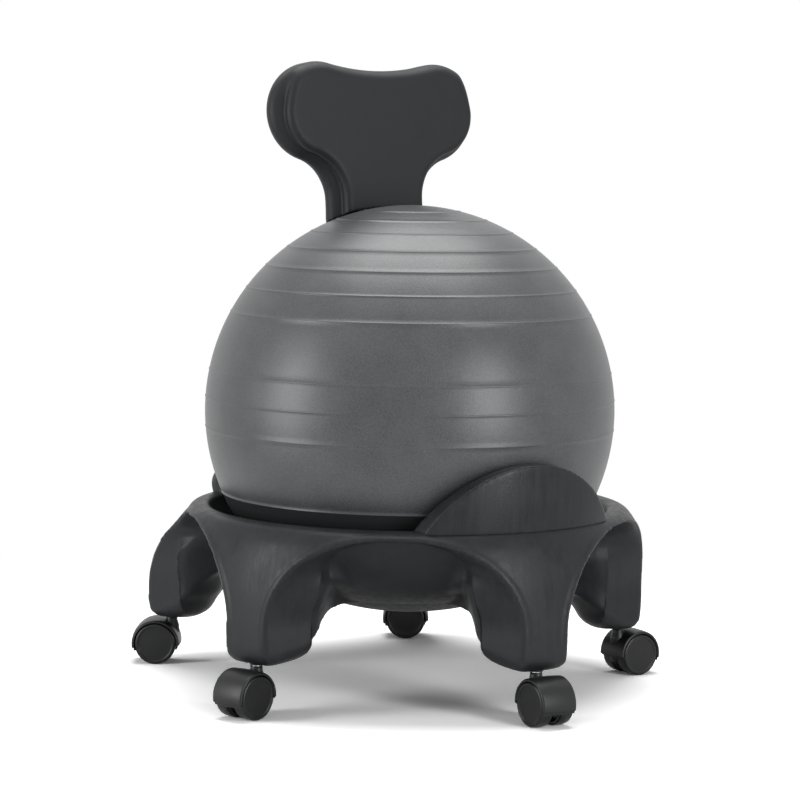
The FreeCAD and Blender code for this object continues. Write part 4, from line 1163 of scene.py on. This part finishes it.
class BALLCHAIR_OT_hardware(bpy.types.Operator):
    """Give the carried-over frame nodes their materials"""
    bl_idname = "ball_chair.hardware"
    bl_label = "Hardware"

    def execute(self, context):
        colour = opaque(context.scene.chair_casters.nylon_colour)
        nylon = moulded_nylon("moulded_nylon", colour, 0.32)
        plug_plastic = moulded_nylon("moulded_soft_plastic", linear("#3A3C3E"), 0.5)
        steel = zinc_plated_steel("zinc_plated_steel")
        for name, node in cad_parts.items():
            metal = any(word in name for word in STEEL_WORDS)
            coat(node, steel if metal else plug_plastic if name == "ball_plug" else nylon)
        return {"FINISHED"}


# The stage. The camera stands where the photograph was taken from, and the lens's own axis
# meets the picture at a pixel a little off its middle.

CAMERA_PLACE = Vector((-1929.44, -2982.29, 696.12))
CAMERA_AZIMUTH = -32.746
CAMERA_PITCH = 5.3763
CAMERA_ROLL = 0.7374
CAMERA_LENS = 126.201
PICTURE_WIDTH = 800
AXIS_PIXEL = (402.3, 401.2)
# Lamps: name, turn from the camera's azimuth, elevation, distance, size, power setting.
SOFTBOXES = [
    ("softbox_left", -66, 10, 2200, (650, 1500), "lamp_power"),
    ("softbox_right", 42, 10, 2200, (450, 1500), "lamp_power"),
    ("softbox_top", 0, 97, 2000, (1900, 1500), "top_power"),
]
FLOOR_RADIUS = 40000


def direction(azimuth, elevation):
    """Unit vector from the chair toward a place round it."""
    a = math.radians(azimuth)
    e = math.radians(elevation)
    return Vector((math.sin(a) * math.cos(e), -math.cos(a) * math.cos(e), math.sin(e)))


def aim(place, target, roll=0.0):
    """A matrix that looks from a place to a target, both in millimetres."""
    back = (place - target).normalized()
    right = Vector((0, 0, 1)).cross(back).normalized()
    up = back.cross(right)
    turn = math.radians(roll)
    right, up = (right * math.cos(turn) + up * math.sin(turn),
                 up * math.cos(turn) - right * math.sin(turn))
    matrix = Matrix((right, up, back)).transposed().to_4x4()
    matrix.translation = place * MM
    return matrix


def make_camera(context):
    """The camera at the photograph's angle."""
    data = bpy.data.cameras.new("camera")
    data.sensor_width = 36
    data.lens = CAMERA_LENS
    data.shift_x = -(AXIS_PIXEL[0] - PICTURE_WIDTH / 2) / PICTURE_WIDTH
    data.shift_y = (AXIS_PIXEL[1] - PICTURE_WIDTH / 2) / PICTURE_WIDTH
    camera = new_object("camera", data)
    back = direction(CAMERA_AZIMUTH, CAMERA_PITCH)
    camera.matrix_world = aim(CAMERA_PLACE, CAMERA_PLACE - back, CAMERA_ROLL)
    context.scene.camera = camera


def softbox(name, azimuth, elevation, distance, size, power):
    """A rectangular lamp that looks at the ball from a direction round the chair."""
    centre = Vector((0, 0, BALL_CENTRE))
    data = bpy.data.lights.new(name, "AREA")
    data.shape = "RECTANGLE"
    data.size = size[0] * MM
    data.size_y = size[1] * MM
    data.energy = power
    lamp = new_object(name, data)
    lamp.matrix_world = aim(centre + distance * direction(azimuth, elevation), centre)


def light_room(context, strength):
    """Soft light from all sides, before a backdrop that shows white."""
    world = bpy.data.worlds.new("studio")
    context.scene.world = world
    world.use_nodes = True
    tree = world.node_tree
    tree.nodes.clear()
    path = add_node(tree, "LightPath")
    room = add_node(tree, "Background", {"Color": WHITE, "Strength": strength})
    white = add_node(tree, "Background", {"Color": WHITE, "Strength": 1.0})
    mix = add_node(tree, "MixShader", {0: seen_directly(tree, path), 1: room, 2: white})
    add_node(tree, "OutputWorld", {"Surface": mix})


class BALLCHAIR_OT_stage(bpy.types.Operator):
    """Set up the floor, the lamps and the camera"""
    bl_idname = "ball_chair.stage"
    bl_label = "Stage"

    def execute(self, context):
        settings = context.scene.chair_stage
        make_camera(context)
        floor = make_object("floor", turned_shape([(0, 0), (FLOOR_RADIUS, 0)], 64))
        coat(floor, floor_paint(settings.floor_colour))
        for name, turn, elevation, distance, size, power in SOFTBOXES:
            softbox(name, CAMERA_AZIMUTH + turn, elevation, distance, size,
                    getattr(settings, power))
        light_room(context, settings.room_light)
        context.scene.view_settings.view_transform = "Standard"
        return {"FINISHED"}


class BALLCHAIR_PT_panel(bpy.types.Panel):
    """Lists the builders of the chair's pieces"""
    bl_idname = "BALLCHAIR_PT_panel"
    bl_label = "Balance ball chair"
    bl_space_type = "VIEW_3D"
    bl_region_type = "UI"
    bl_category = "Chair"

    def draw(self, context):
        for operator in OPERATORS:
            self.layout.operator(operator.bl_idname)


OPERATORS = [BALLCHAIR_OT_stage, BALLCHAIR_OT_hardware, BALLCHAIR_OT_base, BALLCHAIR_OT_shield,
             BALLCHAIR_OT_backrest, BALLCHAIR_OT_ball, BALLCHAIR_OT_casters]
SETTINGS = {"chair_stage": StageSettings, "chair_base": BaseSettings,
            "chair_ball": BallSettings, "chair_casters": CasterSettings}


def register():
    for name, group in SETTINGS.items():
        bpy.utils.register_class(group)
        setattr(bpy.types.Scene, name, PointerProperty(type=group))
    for operator in OPERATORS:
        bpy.utils.register_class(operator)
    bpy.utils.register_class(BALLCHAIR_PT_panel)


def unregister():
    bpy.utils.unregister_class(BALLCHAIR_PT_panel)
    for operator in reversed(OPERATORS):
        bpy.utils.unregister_class(operator)
    for name, group in SETTINGS.items():
        delattr(bpy.types.Scene, name)
        bpy.utils.unregister_class(group)


def main():
    register()
    bpy.ops.ball_chair.stage()
    bpy.ops.ball_chair.hardware()
    bpy.ops.ball_chair.base()
    bpy.ops.ball_chair.shield()
    bpy.ops.ball_chair.backrest()
    bpy.ops.ball_chair.ball()
    bpy.ops.ball_chair.casters()
    bpy.context.view_layer.update()


if __name__ == "__main__":
    main()
